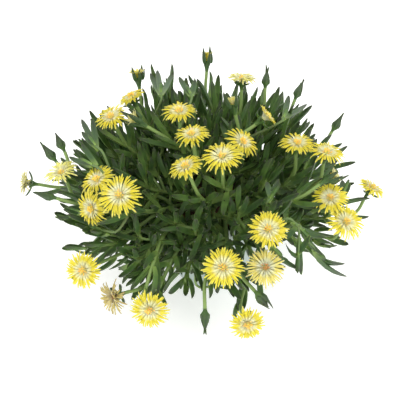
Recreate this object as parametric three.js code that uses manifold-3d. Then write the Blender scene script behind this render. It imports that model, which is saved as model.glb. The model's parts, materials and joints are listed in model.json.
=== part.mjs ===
/**
 * A yellow ice plant in a round nursery pot, in millimetres, +Z up.
 *
 * The origin is the middle of the pot's underside. Fleshy stems rise out of holes in the potting
 * mix, fork, and end on a low mound that is wider than the pot. They carry opposite pairs of
 * three-sided leaves, green buds, half-open blooms and open blooms.
 */
import * as THREE from 'three';
import { mergeVertices } from 'three/addons/utils/BufferGeometryUtils.js';
import Module from 'manifold-3d';

const wasm = await Module();
wasm.setup();

const { Vector3 } = THREE;
const UP = new Vector3(0, 0, 1);
const FULL_TURN = 2 * Math.PI;
const GOLDEN_ANGLE = Math.PI * (3 - Math.sqrt(5));
const radians = THREE.MathUtils.degToRad;

// Clear gap between two pieces that touch on the real plant
const GAP = 0.35;

// The pot: outside radii at the rim band, under the band and at the foot
const POT = {
  height: 95,
  rimRadius: 57.5,
  bandHeight: 13,
  bandStep: 1.8,
  footRadius: 41,
  footHeight: 3,
  wall: 1.8,
  floor: 2.6,
  sides: 24,
};
const DRAIN = { count: 6, radius: 5, ring: 28 };

// The potting mix: how far its edge lies below the rim, and how much its middle is heaped up
const SOIL = { drop: 9, crown: 3 };

// Stems: radii of the trunks, of leafy stems and of flower stalks, and the depth of their holes
const STEM = { main: 2.1, shoot: 1.7, stalk: 1.3, depth: 13 };

// Rings of a stem: how far and how much it may turn from one to the next, and its straight ends
const RING = { step: 34, nearest: 7, turn: radians(30), sharpest: radians(50), lead: 7, straight: 22 };

// Branches: how wide they stand, how many stems each may carry, and their trunk as a share of the
// way to the middle of its stems' ends
const BRANCHES = { count: 26, spread: 43, most: 5, shortest: 24, trunk: 0.46, longest: 0.8 };

// Forks along a trunk: how a side stem leaves it, and the room that is kept round its foot
const FORK = { first: 0.1, foot: 4.6, out: 0.8, ahead: 0.6, collar: 5, clear: 5, swell: 2.7 };
const FORKING = { stems: 2, tried: 4, crowding: 0.12 };

// Half the width of a square stem, as a share of the radius of its corners
const SQUARE_SIDE = Math.SQRT1_2;

// Spacing of the balls that stand for a stem
const BALL_STEP = 3;

// The mound that the growth fills: plan radius, rise above its widest level and droop below it
const MOUND = { centre: new Vector3(-14, 0, 88), radius: 162, rise: 118, droop: 40 };

// The view in which the places below are given: a camera 40 degrees above the table
const VIEW = {
  elevation: radians(40),
  distance: 800,
  focal: 800,
  middle: 200,
  aim: new Vector3(-13, -3, 88),
};

// A leaf: length, width across its flat face, depth of its keel, where it is widest, how far it
// curls in, how much its size and lean vary, and how far it is turned about its stem
const LEAF = { length: 38, width: 5.4, keel: 4, widest: 0.52, curl: 0.1, varying: 0.12, turn: radians(7) };

// Pairs of leaves: their height on the stem, their spacing, the bare stem above the highest pair,
// the number on each kind of stem and how far they lean out, from the highest pair down
const PAIR = { foot: 4, spacing: 14, bareTip: 4, bareStalk: 26 };
const PAIRS = { bloom: 2, tuft: 2, bud: 1, shoot: 3, filler: 3 };
const PAIR_LEANS = [16, 27, 36, 43].map(radians);

// Balls that stand for a leaf: their depth behind its face, and the start and slope of their
// radius below and above the middle, all as shares of its width and length
const LEAF_BALLS = { count: 10, depth: 0.38, middle: 0.45, lower: [0.3, 0.5], upper: [0.98, -0.86] };

// The growing tip of a shoot: its length, and how far below the leaf tips the stem ends
const TIP = { length: 9, below: 32.68, lift: 0.1 };

// Room between a leaf and its own stem: it is not looked at nearer than this to the leaf's root
const NEAR_ROOT = { stem: 10, leaf: 4, above: 20, leastLean: 0.2 };

// A bloom: petals, hub radius, petal width and thickness, height of its dome of stamens
const PETAL = { count: 12, hub: 5, width: 3.1, thickness: 1, cup: radians(9), swing: radians(7), dome: 3 };
const HUB = { above: 0.5, below: 1.3 };
const TUFT = { count: 7, hub: 2.9, width: 2.9, length: 9.5, cup: radians(80), swing: radians(4), dome: 2 };

// The green cups under the blooms, and the buds
const CUP = { sepals: 4, radius: 4.4, sepal: 9.5, dip: 0.6, root: 8 };
const OPEN_CUP = { radius: 4.8, inner: 3.7, sepal: 7.6, height: 11 };
const BUD = { radius: 5.2, widest: 0, shoulder: 4, beak: 10, beakRadius: 1.9, tip: 15 };

// Fillers keep this distance from other tips, and leave the pot showing through a gap in front
const FILLER = { tries: 500, spacing: 33.5, lowest: -0.2, lift: 0.35 };
const INNER = { tries: 60, spacing: 26, lowest: 0.5, lift: 0.9, scale: 0.72 };
const FRONT_GAP = { left: 180, right: 274, top: 226, bottom: 400 };

/**
 * Open blooms. left and top place them in the view, diameter is in mm, heading is the way they
 * face in the view (degrees, 90 is up), open is the share of the disc that shows, and near is how
 * many mm nearer than the mound they stand.
 */
const BLOOMS = [
  { left: 132, top: 98, diameter: 27, heading: 120, open: 0.5, near: -4 },
  { left: 112, top: 118, diameter: 32, heading: 115, open: 0.72, near: 6 },
  { left: 179, top: 113, diameter: 33, heading: 95, open: 0.62, near: 2 },
  { left: 192, top: 136, diameter: 32, heading: 100, open: 0.64, near: 2 },
  { left: 242, top: 80, diameter: 28, heading: 88, open: 0.42, near: 0 },
  { left: 241, top: 143, diameter: 34, heading: 50, open: 0.66, near: -8 },
  { left: 222, top: 158, diameter: 38, heading: 95, open: 0.72, near: 10 },
  { left: 186, top: 168, diameter: 31, heading: 115, open: 0.65, near: 4 },
  { left: 264, top: 118, diameter: 25, heading: 38, open: 0.25, near: 0, cup: 38 },
  { left: 297, top: 145, diameter: 35, heading: 88, open: 0.6, near: -8 },
  { left: 326, top: 154, diameter: 36, heading: 80, open: 0.58, near: 10 },
  { left: 98, top: 181, diameter: 34, heading: 125, open: 0.7, near: -10 },
  { left: 120, top: 196, diameter: 39, heading: 110, open: 0.93, near: 12 },
  { left: 93, top: 208, diameter: 34, heading: 200, open: 0.8, near: -6 },
  { left: 62, top: 174, diameter: 33, heading: 115, open: 0.62, near: 0 },
  { left: 28, top: 183, diameter: 29, heading: 172, open: 0.38, near: 0 },
  { left: 371, top: 189, diameter: 29, heading: 60, open: 0.5, near: 0 },
  { left: 330, top: 199, diameter: 34, heading: 100, open: 0.85, near: -6 },
  { left: 345, top: 223, diameter: 36, heading: 65, open: 0.85, near: 10 },
  { left: 268, top: 230, diameter: 35, heading: 90, open: 0.92, near: 4 },
  { left: 223, top: 268, diameter: 36, heading: 90, open: 0.97, near: 8 },
  { left: 265, top: 268, diameter: 34, heading: 80, open: 0.95, near: 2 },
  { left: 84, top: 270, diameter: 34, heading: 200, open: 0.96, near: 0 },
  { left: 116, top: 296, diameter: 30, heading: 195, open: 0.7, near: 0, cup: 30 },
  { left: 150, top: 309, diameter: 35, heading: 250, open: 0.97, near: 4 },
  { left: 247, top: 323, diameter: 32, heading: 290, open: 0.92, near: 2 },
];

/** Half-open blooms, placed and turned like the open ones. */
const HALF_OPEN = [
  { left: 207, top: 62, heading: 88, open: 0.2, near: 0 },
  { left: 138, top: 79, heading: 98, open: 0.3, near: -10 },
  { left: 233, top: 105, heading: 105, open: 0.5, near: 0 },
  { left: 138, top: 121, heading: 150, open: 0.4, near: 0 },
  { left: 329, top: 178, heading: 35, open: 0.3, near: 12 },
];

/** Green buds, placed by their widest part. */
const BUDS = [
  { left: 61, top: 144, heading: 115, open: 0.1, near: 0 },
  { left: 51, top: 155, heading: 128, open: 0.1, near: 0 },
  { left: 48, top: 196, heading: 165, open: 0.1, near: 0 },
  { left: 266, top: 80, heading: 84, open: 0.1, near: 0 },
  { left: 298, top: 92, heading: 68, open: 0.1, near: 0 },
  { left: 336, top: 125, heading: 58, open: 0.1, near: 0 },
  { left: 261, top: 298, heading: 312, open: 0.2, near: 0 },
  { left: 205, top: 318, heading: 270, open: 0.1, near: 0 },
];

/** Leafy shoots of the outline, placed by the tips of their leaves. */
const SHOOTS = [
  { left: 160, top: 65 },
  { left: 184, top: 76 },
  { left: 218, top: 76 },
  { left: 281, top: 93 },
  { left: 309, top: 100 },
  { left: 303, top: 113 },
  { left: 316, top: 127 },
  { left: 352, top: 152 },
  { left: 346, top: 182 },
  { left: 366, top: 208 },
  { left: 352, top: 256 },
  { left: 341, top: 268 },
  { left: 300, top: 272 },
  { left: 88, top: 117 },
  { left: 79, top: 143 },
  { left: 68, top: 157 },
  { left: 62, top: 221 },
  { left: 79, top: 230 },
  { left: 74, top: 248 },
  { left: 181, top: 297 },
  { left: 236, top: 296 },
  { left: 135, top: 325 },
];

const SEED = 20417;

/** A repeatable number from 0 to 1 for whole-number keys. */
function draw(...keys) {
  let state = SEED;
  for (const key of keys) {
    state = Math.imul(state ^ key, 0x9e3779b1) >>> 0;
    state = (state ^ (state >>> 15)) >>> 0;
    state = Math.imul(state, 0x85ebca6b) >>> 0;
    state = (state ^ (state >>> 13)) >>> 0;
  }
  return state / 4294967296;
}

/** A repeatable number from -1 to 1. */
function sway(...keys) {
  return 2 * draw(...keys) - 1;
}

/** The point a + b * share. */
function along(a, b, share) {
  return a.clone().addScaledVector(b, share);
}

/** A unit vector square to a unit axis, as near as possible to a wanted direction. */
function squareTo(axis, wanted) {
  const side = along(wanted, axis, -wanted.dot(axis));
  if (side.length() < 1e-6) {
    return squareTo(axis, new Vector3(axis.y, axis.z, axis.x));
  }
  return side.normalize();
}

/** The directions across an axis: east lies as near as possible to a wanted direction. */
function axesAbout(axis, wanted) {
  const east = squareTo(axis, wanted);
  return { east, north: axis.clone().cross(east) };
}

/** The outward direction of one of the four sides of a stem, or of a place between two of them. */
function sideNormal({ east, north }, side) {
  const angle = (FULL_TURN * side) / 4;
  return along(east.clone().multiplyScalar(Math.cos(angle)), north, Math.sin(angle));
}

// The view's own directions
const VIEW_RIGHT = new Vector3(1, 0, 0);
const VIEW_UP = new Vector3(0, Math.sin(VIEW.elevation), Math.cos(VIEW.elevation));
const VIEW_BACK = new Vector3(0, -Math.cos(VIEW.elevation), Math.sin(VIEW.elevation));
const VIEW_EYE = along(VIEW.aim, VIEW_BACK, VIEW.distance);

/** Direction of the line of sight through a place in the view. */
function sightLine(left, top) {
  return VIEW_BACK.clone()
    .negate()
    .addScaledVector(VIEW_RIGHT, (left - VIEW.middle) / VIEW.focal)
    .addScaledVector(VIEW_UP, (VIEW.middle - top) / VIEW.focal)
    .normalize();
}

/** Where a point appears in the view. */
function inView(point) {
  const offset = point.clone().sub(VIEW_EYE);
  const depth = -offset.dot(VIEW_BACK);
  return {
    left: VIEW.middle + (VIEW.focal * offset.dot(VIEW_RIGHT)) / depth,
    top: VIEW.middle - (VIEW.focal * offset.dot(VIEW_UP)) / depth,
  };
}

/** 1 on the mound's surface, less inside it and more outside. */
function moundLevel(point) {
  const offset = point.clone().sub(MOUND.centre);
  const tall = offset.z > 0 ? MOUND.rise : MOUND.droop;
  return Math.hypot(offset.x / MOUND.radius, offset.y / MOUND.radius, offset.z / tall);
}

/** The direction straight out of the mound at a point. */
function moundNormal(point) {
  const offset = point.clone().sub(MOUND.centre);
  const tall = offset.z > 0 ? MOUND.rise : MOUND.droop;
  return new Vector3(
    offset.x / MOUND.radius ** 2,
    offset.y / MOUND.radius ** 2,
    offset.z / tall ** 2,
  ).normalize();
}

/**
 * The place on the mound behind a place in the view. A line of sight that misses the mound gives
 * its point nearest to it, so what stands on the outline keeps its place there.
 */
function onMound({ left, top, near = 0 }) {
  const line = sightLine(left, top);
  let best = null;
  let bestLevel = Infinity;
  for (let reach = VIEW.distance - 260; reach < VIEW.distance + 260 && bestLevel > 1; reach += 1) {
    const point = along(VIEW_EYE, line, reach);
    const level = moundLevel(point);
    if (level < bestLevel) {
      best = point;
      bestLevel = level;
    }
  }
  return along(best, line, -near);
}

/** The direction that a bloom or bud faces, from its heading and the share of it that shows. */
function facing({ heading, open }) {
  const across = Math.sqrt(1 - open * open);
  return VIEW_BACK.clone()
    .multiplyScalar(open)
    .addScaledVector(VIEW_RIGHT, across * Math.cos(radians(heading)))
    .addScaledVector(VIEW_UP, across * Math.sin(radians(heading)));
}

/** Height of the potting mix at a distance from the pot's axis. */
function soilTop(distance) {
  const edge = POT.height - SOIL.drop;
  const share = Math.max(0, 1 - distance / (POT.rimRadius - POT.bandStep - POT.wall));
  return edge + SOIL.crown * Math.min(1, share * 2);
}

/** The pot's outside radius at a height. */
function potRadius(height) {
  const share = Math.min(Math.max(height / (POT.height - POT.bandHeight), 0), 1);
  const under = POT.rimRadius - POT.bandStep;
  if (height > POT.height - POT.bandHeight) {
    return POT.rimRadius;
  }
  return POT.footRadius + (under - POT.footRadius) * share;
}

// Everything that grows is also noted as a row of balls, so that what grows next can keep clear
const balls = [];

/** Balls along a line of points, each with the radius given for its share of the way. */
function ballsAlong(points, radiusAt) {
  return points.map((point, index) => ({
    point,
    radius: radiusAt(index / Math.max(1, points.length - 1)),
  }));
}

/** Whether balls stay clear of the pot, the potting mix and the table. */
function clearOfPot(list) {
  return list.every(({ point, radius }) => {
    const reach = Math.hypot(point.x, point.y);
    const room = radius + GAP;
    if (point.z < room + 2) {
      return false;
    }
    if (point.z > POT.height + room) {
      return true;
    }
    if (reach < POT.rimRadius - POT.wall - room - 2) {
      return point.z > soilTop(reach) + room;
    }
    return reach > potRadius(point.z) + room + 1;
  });
}

/** Whether balls stay clear of all that is put down, apart from what the exception lets by. */
function clearOfGrowth(list, exception) {
  return list.every((ball) =>
    balls.every((other) => {
      const apart = ball.radius + other.radius + GAP;
      return other.point.distanceToSquared(ball.point) > apart * apart || exception(other, ball);
    }),
  );
}

/** Notes balls as put down, with the branch, the stem and the sort of thing that they are. */
function putDown(list, owner) {
  list.forEach((ball) => balls.push({ ...ball, ...owner }));
}

/** A solid from a closed three.js geometry. */
function solidOf(geometry) {
  const bare = geometry.clone();
  bare.deleteAttribute('normal');
  bare.deleteAttribute('uv');
  const merged = mergeVertices(bare, 1e-4);
  return new wasm.Manifold(
    new wasm.Mesh({
      numProp: 3,
      vertProperties: new Float32Array(merged.attributes.position.array),
      triVerts: new Uint32Array(merged.index.array),
    }),
  );
}

/** A three.js geometry from a solid. */
function geometryOf(solid) {
  const { vertProperties, triVerts, numProp } = solid.getMesh();
  const geometry = new THREE.BufferGeometry();
  const positions = new Float32Array((vertProperties.length / numProp) * 3);
  for (let index = 0; index < positions.length / 3; index += 1) {
    positions.set(vertProperties.subarray(index * numProp, index * numProp + 3), index * 3);
  }
  geometry.setAttribute('position', new THREE.BufferAttribute(positions, 3));
  geometry.setIndex(new THREE.BufferAttribute(new Uint32Array(triVerts), 1));
  const flat = geometry.toNonIndexed();
  flat.computeVertexNormals();
  return flat;
}

/** Moves a geometry made round the Z axis to a place, its axis along a direction. */
function aim(geometry, place, direction) {
  const { east, north } = axesAbout(direction, VIEW_RIGHT);
  const frame = new THREE.Matrix4().makeBasis(east, north, direction).setPosition(place);
  return geometry.applyMatrix4(frame);
}

/** A lathe-turned geometry about the Z axis, from [radius, height] pairs. */
function turned(profile, sides) {
  const points = profile.map(([radius, height]) => new THREE.Vector2(radius, height));
  return new THREE.LatheGeometry(points, sides).rotateX(Math.PI / 2);
}

/** A closed surface built up from rings of corners, each ring joined to the next. */
class Skin {
  constructor() {
    this.corners = [];
    this.faces = [];
  }

  /** Adds a corner and gives its number. */
  corner(place) {
    this.corners.push(place.x, place.y, place.z);
    return this.corners.length / 3 - 1;
  }

  /** Adds faces, three corner numbers each. */
  face(...numbers) {
    this.faces.push(...numbers);
  }

  /**
   * Adds a ring about a frame's axis from one [radius, height] pair for each corner. The first
   * corner lies half a quarter turn from the frame's east.
   */
  ring({ centre, east, north, axis }, sizes) {
    return sizes.map(([radius, height], index) => {
      const angle = FULL_TURN / 8 + (FULL_TURN * index) / sizes.length;
      const out = along(east.clone().multiplyScalar(Math.cos(angle)), north, Math.sin(angle));
      return this.corner(along(along(centre, axis, height), out, radius));
    });
  }

  /** Joins a ring to the next one up: as many corners, twice as many, half as many or one. */
  join(lower, upper) {
    const count = Math.min(lower.length, upper.length);
    for (let index = 0; index < lower.length; index += 1) {
      const next = (index + 1) % lower.length;
      if (upper.length === 1) {
        this.face(lower[index], lower[next], upper[0]);
      } else if (upper.length === lower.length) {
        this.face(lower[index], lower[next], upper[next], lower[index], upper[next], upper[index]);
      }
    }
    for (let index = 0; index < count && upper.length !== 1 && upper.length !== lower.length; index += 1) {
      const next = (index + 1) % count;
      const [few, many] = upper.length > lower.length ? [lower, upper] : [upper, lower];
      const faces = [
        [few[index], few[next], many[2 * index + 1]],
        [few[index], many[2 * index + 1], many[2 * index]],
        [few[next], many[2 * next], many[2 * index + 1]],
      ];
      faces.forEach((face) => this.face(...(upper.length > lower.length ? face : face.reverse())));
    }
  }

  /** The finished three.js geometry. */
  geometry() {
    const geometry = new THREE.BufferGeometry();
    geometry.setAttribute('position', new THREE.Float32BufferAttribute(this.corners, 3));
    geometry.setIndex(this.faces);
    return geometry;
  }
}

/**
 * Grows a fleshy leaf out of one side of a stem, from that side's four corners. The leaf is flat
 * towards the stem, keeled on its outer side, widest half way, and curls slightly back.
 */
function skinLeaf(skin, base, leaf) {
  const side = leaf.face.clone().cross(leaf.axis);
  const broad = leafPoint(leaf, LEAF.widest);
  const left = skin.corner(along(broad, side, -leaf.width / 2));
  const right = skin.corner(along(broad, side, leaf.width / 2));
  const keel = skin.corner(along(leafPoint(leaf, LEAF.widest * 0.9), leaf.face, -leaf.keel));
  const tip = skin.corner(leafPoint(leaf, 1));
  const [bottomLeft, bottomRight, topRight, topLeft] = base;
  skin.face(bottomLeft, bottomRight, keel);
  skin.face(bottomRight, topRight, right, bottomRight, right, keel);
  skin.face(topRight, topLeft, left, topRight, left, right);
  skin.face(topLeft, bottomLeft, keel, topLeft, keel, left);
  skin.join([keel, right, left], [tip]);
}

/** A point of a leaf's flat face, at a share of its length. */
function leafPoint({ root, axis, face, length }, share) {
  return along(along(root, axis, length * share), face, length * LEAF.curl * share * share);
}

/** The balls that stand for a leaf: small at its root, largest half way, small at its tip. */
function leafBalls(leaf) {
  const points = [];
  for (let step = 1; step <= LEAF_BALLS.count; step += 1) {
    const share = step / LEAF_BALLS.count;
    const depth = leaf.keel * LEAF_BALLS.depth * (1 - share * 0.6);
    points.push(along(leafPoint(leaf, share), leaf.face, -depth));
  }
  return ballsAlong(points, (share) => {
    const [start, slope] = share < LEAF_BALLS.middle ? LEAF_BALLS.lower : LEAF_BALLS.upper;
    return leaf.width * (start + slope * share);
  });
}

/**
 * Corner points of a ring of petals round a hub. Each petal is a strip that widens to its
 * shoulders and ends in a blunt tip, with a keel below.
 */
function petalRing({ count, hub, length, width, cup, swing, thickness, dome, key }) {
  const corners = [];
  const faces = [];
  const put = (radius, angle, height) => {
    corners.push(radius * Math.cos(angle), radius * Math.sin(angle), height);
    return corners.length / 3 - 1;
  };
  const pitch = FULL_TURN / count;
  const top = [];
  const bottom = [];
  for (let petal = 0; petal < count; petal += 1) {
    top.push(put(hub, (petal - 0.5) * pitch, HUB.above));
    bottom.push(put(hub, (petal - 0.5) * pitch, -HUB.below));
  }
  const crown = put(0, 0, dome);
  const under = put(0, 0, -HUB.below);
  for (let petal = 0; petal < count; petal += 1) {
    const next = (petal + 1) % count;
    const angle = petal * pitch;
    const rise = cup + swing * (petal % 2 ? 1 : -1) * (0.4 + 0.6 * draw(key, petal, 1));
    const reach = length * (0.92 + 0.08 * draw(key, petal, 2));
    const onPetal = (share, across, below) => {
      const out = hub + reach * share * Math.cos(rise) + below * Math.sin(rise);
      const height = reach * share * Math.sin(rise) - below * Math.cos(rise);
      const turn = Math.atan2(across, out);
      return put(Math.hypot(out, across), angle + turn, height);
    };
    const left = onPetal(0.7, -width / 2, 0);
    const right = onPetal(0.7, width / 2, 0);
    const keel = onPetal(0.6, 0, thickness);
    const tip = onPetal(1, 0, 0.1);
    faces.push(top[petal], right, top[next], top[petal], left, right, left, tip, right);
    faces.push(bottom[petal], bottom[next], keel);
    faces.push(top[petal], bottom[petal], keel, top[petal], keel, left);
    faces.push(top[next], keel, bottom[next], top[next], right, keel);
    faces.push(left, keel, tip, right, tip, keel);
    faces.push(top[petal], top[next], crown);
    faces.push(bottom[petal], under, bottom[next]);
  }
  const geometry = new THREE.BufferGeometry();
  geometry.setAttribute('position', new THREE.Float32BufferAttribute(corners, 3));
  geometry.setIndex(faces);
  return geometry;
}

/** The balls that stand for a ring of petals. */
function petalBalls({ count, hub, length, cup }, place, direction) {
  const axes = axesAbout(direction, VIEW_RIGHT);
  const list = [{ point: place, radius: hub * 0.7 }];
  for (let petal = 0; petal < count; petal += 1) {
    const out = sideNormal(axes, (4 * petal) / count);
    for (const share of [0, 0.2, 0.4, 0.6, 0.8, 1]) {
      const reach = hub + length * share * Math.cos(cup);
      const point = along(place, out, reach).addScaledVector(direction, length * share * Math.sin(cup));
      list.push({ point, radius: 1.6 });
    }
  }
  return list;
}

/** The settings of an open bloom's petals. */
function bloomPetals(bloom, key) {
  return {
    ...PETAL,
    key,
    length: bloom.diameter / 2 - PETAL.hub,
    cup: bloom.cup ? radians(bloom.cup) : PETAL.cup,
  };
}

/** The settings of a half-open bloom's petals. */
function tuftPetals(tuft, key) {
  return { ...PETAL, ...TUFT, key };
}

/** The green cup behind an open bloom, with four pointed sepals spread under the petals. */
function skinCup(skin, neck, frame) {
  const rim = [];
  for (let sepal = 0; sepal < CUP.sepals; sepal += 1) {
    rim.push([CUP.sepal, -CUP.dip], [CUP.radius, 0]);
  }
  const edge = skin.ring(frame, rim);
  skin.join(neck, edge);
  skin.join(edge, [skin.corner(frame.centre)]);
}

/** The cup of a half-open bloom, with upright sepals round the seat of its petals. */
function skinOpenCup(skin, neck, frame) {
  const rim = [];
  const seat = [];
  for (let sepal = 0; sepal < CUP.sepals; sepal += 1) {
    rim.push([OPEN_CUP.sepal, OPEN_CUP.height], [OPEN_CUP.radius, 0]);
    seat.push([OPEN_CUP.inner, 0], [OPEN_CUP.inner, 0]);
  }
  const edge = skin.ring(frame, rim);
  const inner = skin.ring(frame, seat);
  skin.join(neck, edge);
  skin.join(edge, inner);
  skin.join(inner, [skin.corner(frame.centre)]);
}

/** A closed green bud. */
function skinBud(skin, neck, frame) {
  const even = (radius, height, count) => Array.from({ length: count }, () => [radius, height]);
  const widest = skin.ring(frame, even(BUD.radius, BUD.widest, 8));
  const shoulder = skin.ring(frame, even(BUD.radius * 0.86, BUD.shoulder, 8));
  const beak = skin.ring(frame, even(BUD.beakRadius, BUD.beak, 4));
  skin.join(neck, widest);
  skin.join(widest, shoulder);
  skin.join(shoulder, beak);
  skin.join(beak, [skin.corner(along(frame.centre, frame.axis, BUD.tip))]);
}

/** Joins two square rings of a stem, with whatever grows out of their sides. */
function skinSides(skin, lower, upper, grownOn) {
  for (let side = 0; side < 4; side += 1) {
    const before = (side + 3) % 4;
    const base = [lower[before], lower[side], upper[side], upper[before]];
    const grown = grownOn(side);
    if (grown?.axis) {
      skinLeaf(skin, base, grown);
    } else if (grown) {
      skinStem(skin, base, grown);
    } else {
      skin.face(base[0], base[1], base[2], base[0], base[2], base[3]);
    }
  }
}

/**
 * Distances along a curve, between two distances, at which a stem needs a ring: where it has
 * turned or gone on far enough since the last one.
 */
function bendRings(curve, from, to) {
  const length = curve.getLength();
  const distances = [];
  let axis = curve.getTangentAt(from / length);
  let last = from;
  for (let reach = from + RING.nearest; reach < to - RING.nearest; reach += 1) {
    const next = curve.getTangentAt(reach / length);
    const turned = next.angleTo(axis) > RING.turn || reach - last > RING.step;
    if (turned && reach - last > RING.nearest) {
      distances.push(reach);
      axis = next;
      last = reach;
    }
  }
  return distances;
}

/** The rings of a stem above its base. The ring below each pair of leaves carries its order. */
function stemRings({ curve, east, collar, pairs }) {
  const length = curve.getLength();
  const stops = collar > 0 ? [{ reach: collar }] : [];
  let from = collar;
  for (let order = pairs.length - 1; order >= 0; order -= 1) {
    const reach = length - pairs[order] - PAIR.foot / 2;
    bendRings(curve, from, reach).forEach((bend) => stops.push({ reach: bend }));
    stops.push({ reach, order }, { reach: reach + PAIR.foot });
    from = reach + PAIR.foot;
  }
  bendRings(curve, from, length).forEach((bend) => stops.push({ reach: bend }));
  if (length - from > RING.nearest / 2) {
    stops.push({ reach: length });
  }
  return framesAlong(curve, stops, east);
}

/** Frames at stops along a curve, each turned as little as can be from the one before. */
function framesAlong(curve, stops, east) {
  let frame = { east };
  return stops.map((stop) => {
    frame = frameAt(curve, Math.min(1, stop.reach / curve.getLength()), frame.east);
    return { ...stop, ...frame };
  });
}

/** Grows a stem from a base of four corners up to its cup, bud or growing tip. */
function skinStem(skin, base, stem) {
  const { rings, radius, point } = stem;
  const square = Array.from({ length: 4 }, () => [radius, 0]);
  let ring = base;
  let leaves = [];
  for (const frame of rings) {
    const next = skin.ring(frame, square);
    const below = leaves;
    skinSides(skin, ring, next, (side) => below.find((leaf) => leaf.side === side));
    ring = next;
    leaves = stem.leaves.filter((leaf) => leaf.order === frame.order);
  }
  const top = headFrame(stem);
  if (point.kind === 'bloom') {
    skinCup(skin, ring, top);
  } else if (point.kind === 'tuft') {
    skinOpenCup(skin, ring, top);
  } else if (point.kind === 'bud') {
    skinBud(skin, ring, top);
  } else {
    skin.join(ring, [skin.corner(along(point.end, point.direction, TIP.length))]);
  }
}

/** The frame of the cup, bud or growing tip at the end of a stem. */
function headFrame({ rings, point, east }) {
  const axis = point.direction;
  const last = rings.length > 0 ? rings[rings.length - 1].east : east;
  return { centre: point.seat ?? point.end, axis, ...axesAbout(axis, last) };
}

/** The frame of a curve at a share of its length, turned as little as can be from an east. */
function frameAt(curve, share, east) {
  const axis = curve.getTangentAt(share);
  return { centre: curve.getPointAt(share), axis, ...axesAbout(axis, east) };
}

/** The growing points: each has a kind, a stem end, the direction there and its own key. */
function growingPoints() {
  const seated = (kind, spots, depth, petalsOf) => spots.map((spot, index) => {
    const place = onMound(spot);
    const direction = facing(spot);
    const seat = along(place, direction, -depth);
    const end = along(seat, direction, -CUP.root);
    return { kind, index, place, direction, seat, end, petals: petalsOf(spot, index) };
  });
  const shoots = SHOOTS.map((shoot, index) => {
    const place = onMound(shoot);
    const direction = along(moundNormal(place), UP, TIP.lift).normalize();
    return { kind: 'shoot', index, place, direction, end: along(place, direction, -TIP.below) };
  });
  return [
    ...seated('bloom', BLOOMS, HUB.below + GAP, bloomPetals),
    ...seated('tuft', HALF_OPEN, HUB.below + GAP, tuftPetals),
    ...seated('bud', BUDS, 0, () => null),
    ...shoots,
  ];
}

// Balls that stand for a cup or bud: height above its seat and radius
const HEAD_BALLS = {
  bloom: [[0, 5], [-4, 3]],
  tuft: [[0, 5], [4, 5.6], [8, 6.6], [11, 7]],
  bud: [[-4, 3.4], [0, 5.2], [4, 4.6], [8, 3], [12, 1.8], [15, 0.6]],
  sepal: { count: 6, reach: 7.5, height: -1, radius: 1.8 },
};

/** The balls that stand for the cup or bud at the end of a stem. */
function headBalls({ kind, seat, direction }) {
  const sizes = HEAD_BALLS[kind] ?? [];
  const list = sizes.map(([height, radius]) => ({ point: along(seat, direction, height), radius }));
  if (kind === 'bloom') {
    const { count, reach, height, radius } = HEAD_BALLS.sepal;
    const axes = axesAbout(direction, VIEW_RIGHT);
    for (let sepal = 0; sepal < count; sepal += 1) {
      const out = sideNormal(axes, (4 * sepal) / count);
      list.push({ point: along(along(seat, out, reach), direction, height), radius });
    }
  }
  return list;
}

/**
 * Fills the rest of the mound, or of a smaller mound inside it, with shoots, evenly round it and
 * from its top to its hem.
 */
function fillers(taken, { tries, spacing, lowest, lift, scale = 1 }) {
  const list = [];
  for (let step = 0; step < tries; step += 1) {
    const height = 1 - ((step + 0.5) / tries) * (1 - lowest);
    const level = Math.sqrt(1 - height * height);
    const turn = step * GOLDEN_ANGLE;
    const tall = height > 0 ? MOUND.rise : MOUND.droop;
    const tip = new Vector3(
      scale * (MOUND.centre.x + MOUND.radius * level * Math.cos(turn)),
      scale * (MOUND.centre.y + MOUND.radius * level * Math.sin(turn)),
      MOUND.centre.z + scale * tall * height,
    );
    const spot = inView(tip);
    const inGap = spot.left > FRONT_GAP.left && spot.left < FRONT_GAP.right && spot.top > FRONT_GAP.top;
    const others = [...taken, ...list];
    if (!inGap && others.every((other) => other.place.distanceTo(tip) > spacing)) {
      const direction = along(moundNormal(tip), UP, lift).normalize();
      const end = along(tip, direction, -TIP.below);
      list.push({ kind: 'filler', index: taken.length + step, place: tip, direction, end });
    }
  }
  return list;
}

/** Where the branches stand in the potting mix. */
function branchRoots() {
  return Array.from({ length: BRANCHES.count }, (_, index) => {
    const distance = BRANCHES.spread * Math.sqrt((index + 0.5) / BRANCHES.count);
    const turn = index * GOLDEN_ANGLE;
    const root = new Vector3(distance * Math.cos(turn), distance * Math.sin(turn), soilTop(distance));
    return { index, root, points: [], stems: [] };
  });
}

/**
 * Gives each growing point to the branch whose root lies most nearly under it, among those with
 * room for one more. Shoots that find no room are left out.
 */
function shareOut(points, branches) {
  const shrink = BRANCHES.spread / MOUND.radius;
  for (const point of points) {
    const under = point.end.clone().sub(MOUND.centre).multiplyScalar(shrink);
    const apart = ({ root }) => Math.hypot(root.x - under.x, root.y - under.y);
    const roomy = branches.filter((branch) => branch.points.length < BRANCHES.most);
    roomy.sort((a, b) => apart(a) - apart(b))[0]?.points.push(point);
  }
  return branches.filter((branch) => branch.points.length > 0);
}

// Bends that a stem tries in turn, sideways and upwards in mm
const BENDS = [
  [0, 0], [7, 0], [-7, 0], [0, 8], [12, 4], [-12, 4], [0, -8], [18, 8], [-18, 8],
  [0, 16], [26, 0], [-26, 0], [0, 26], [26, 18], [-26, 18], [38, 8], [-38, 8], [0, -16],
  [18, -8], [-18, -8],
];

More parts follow.
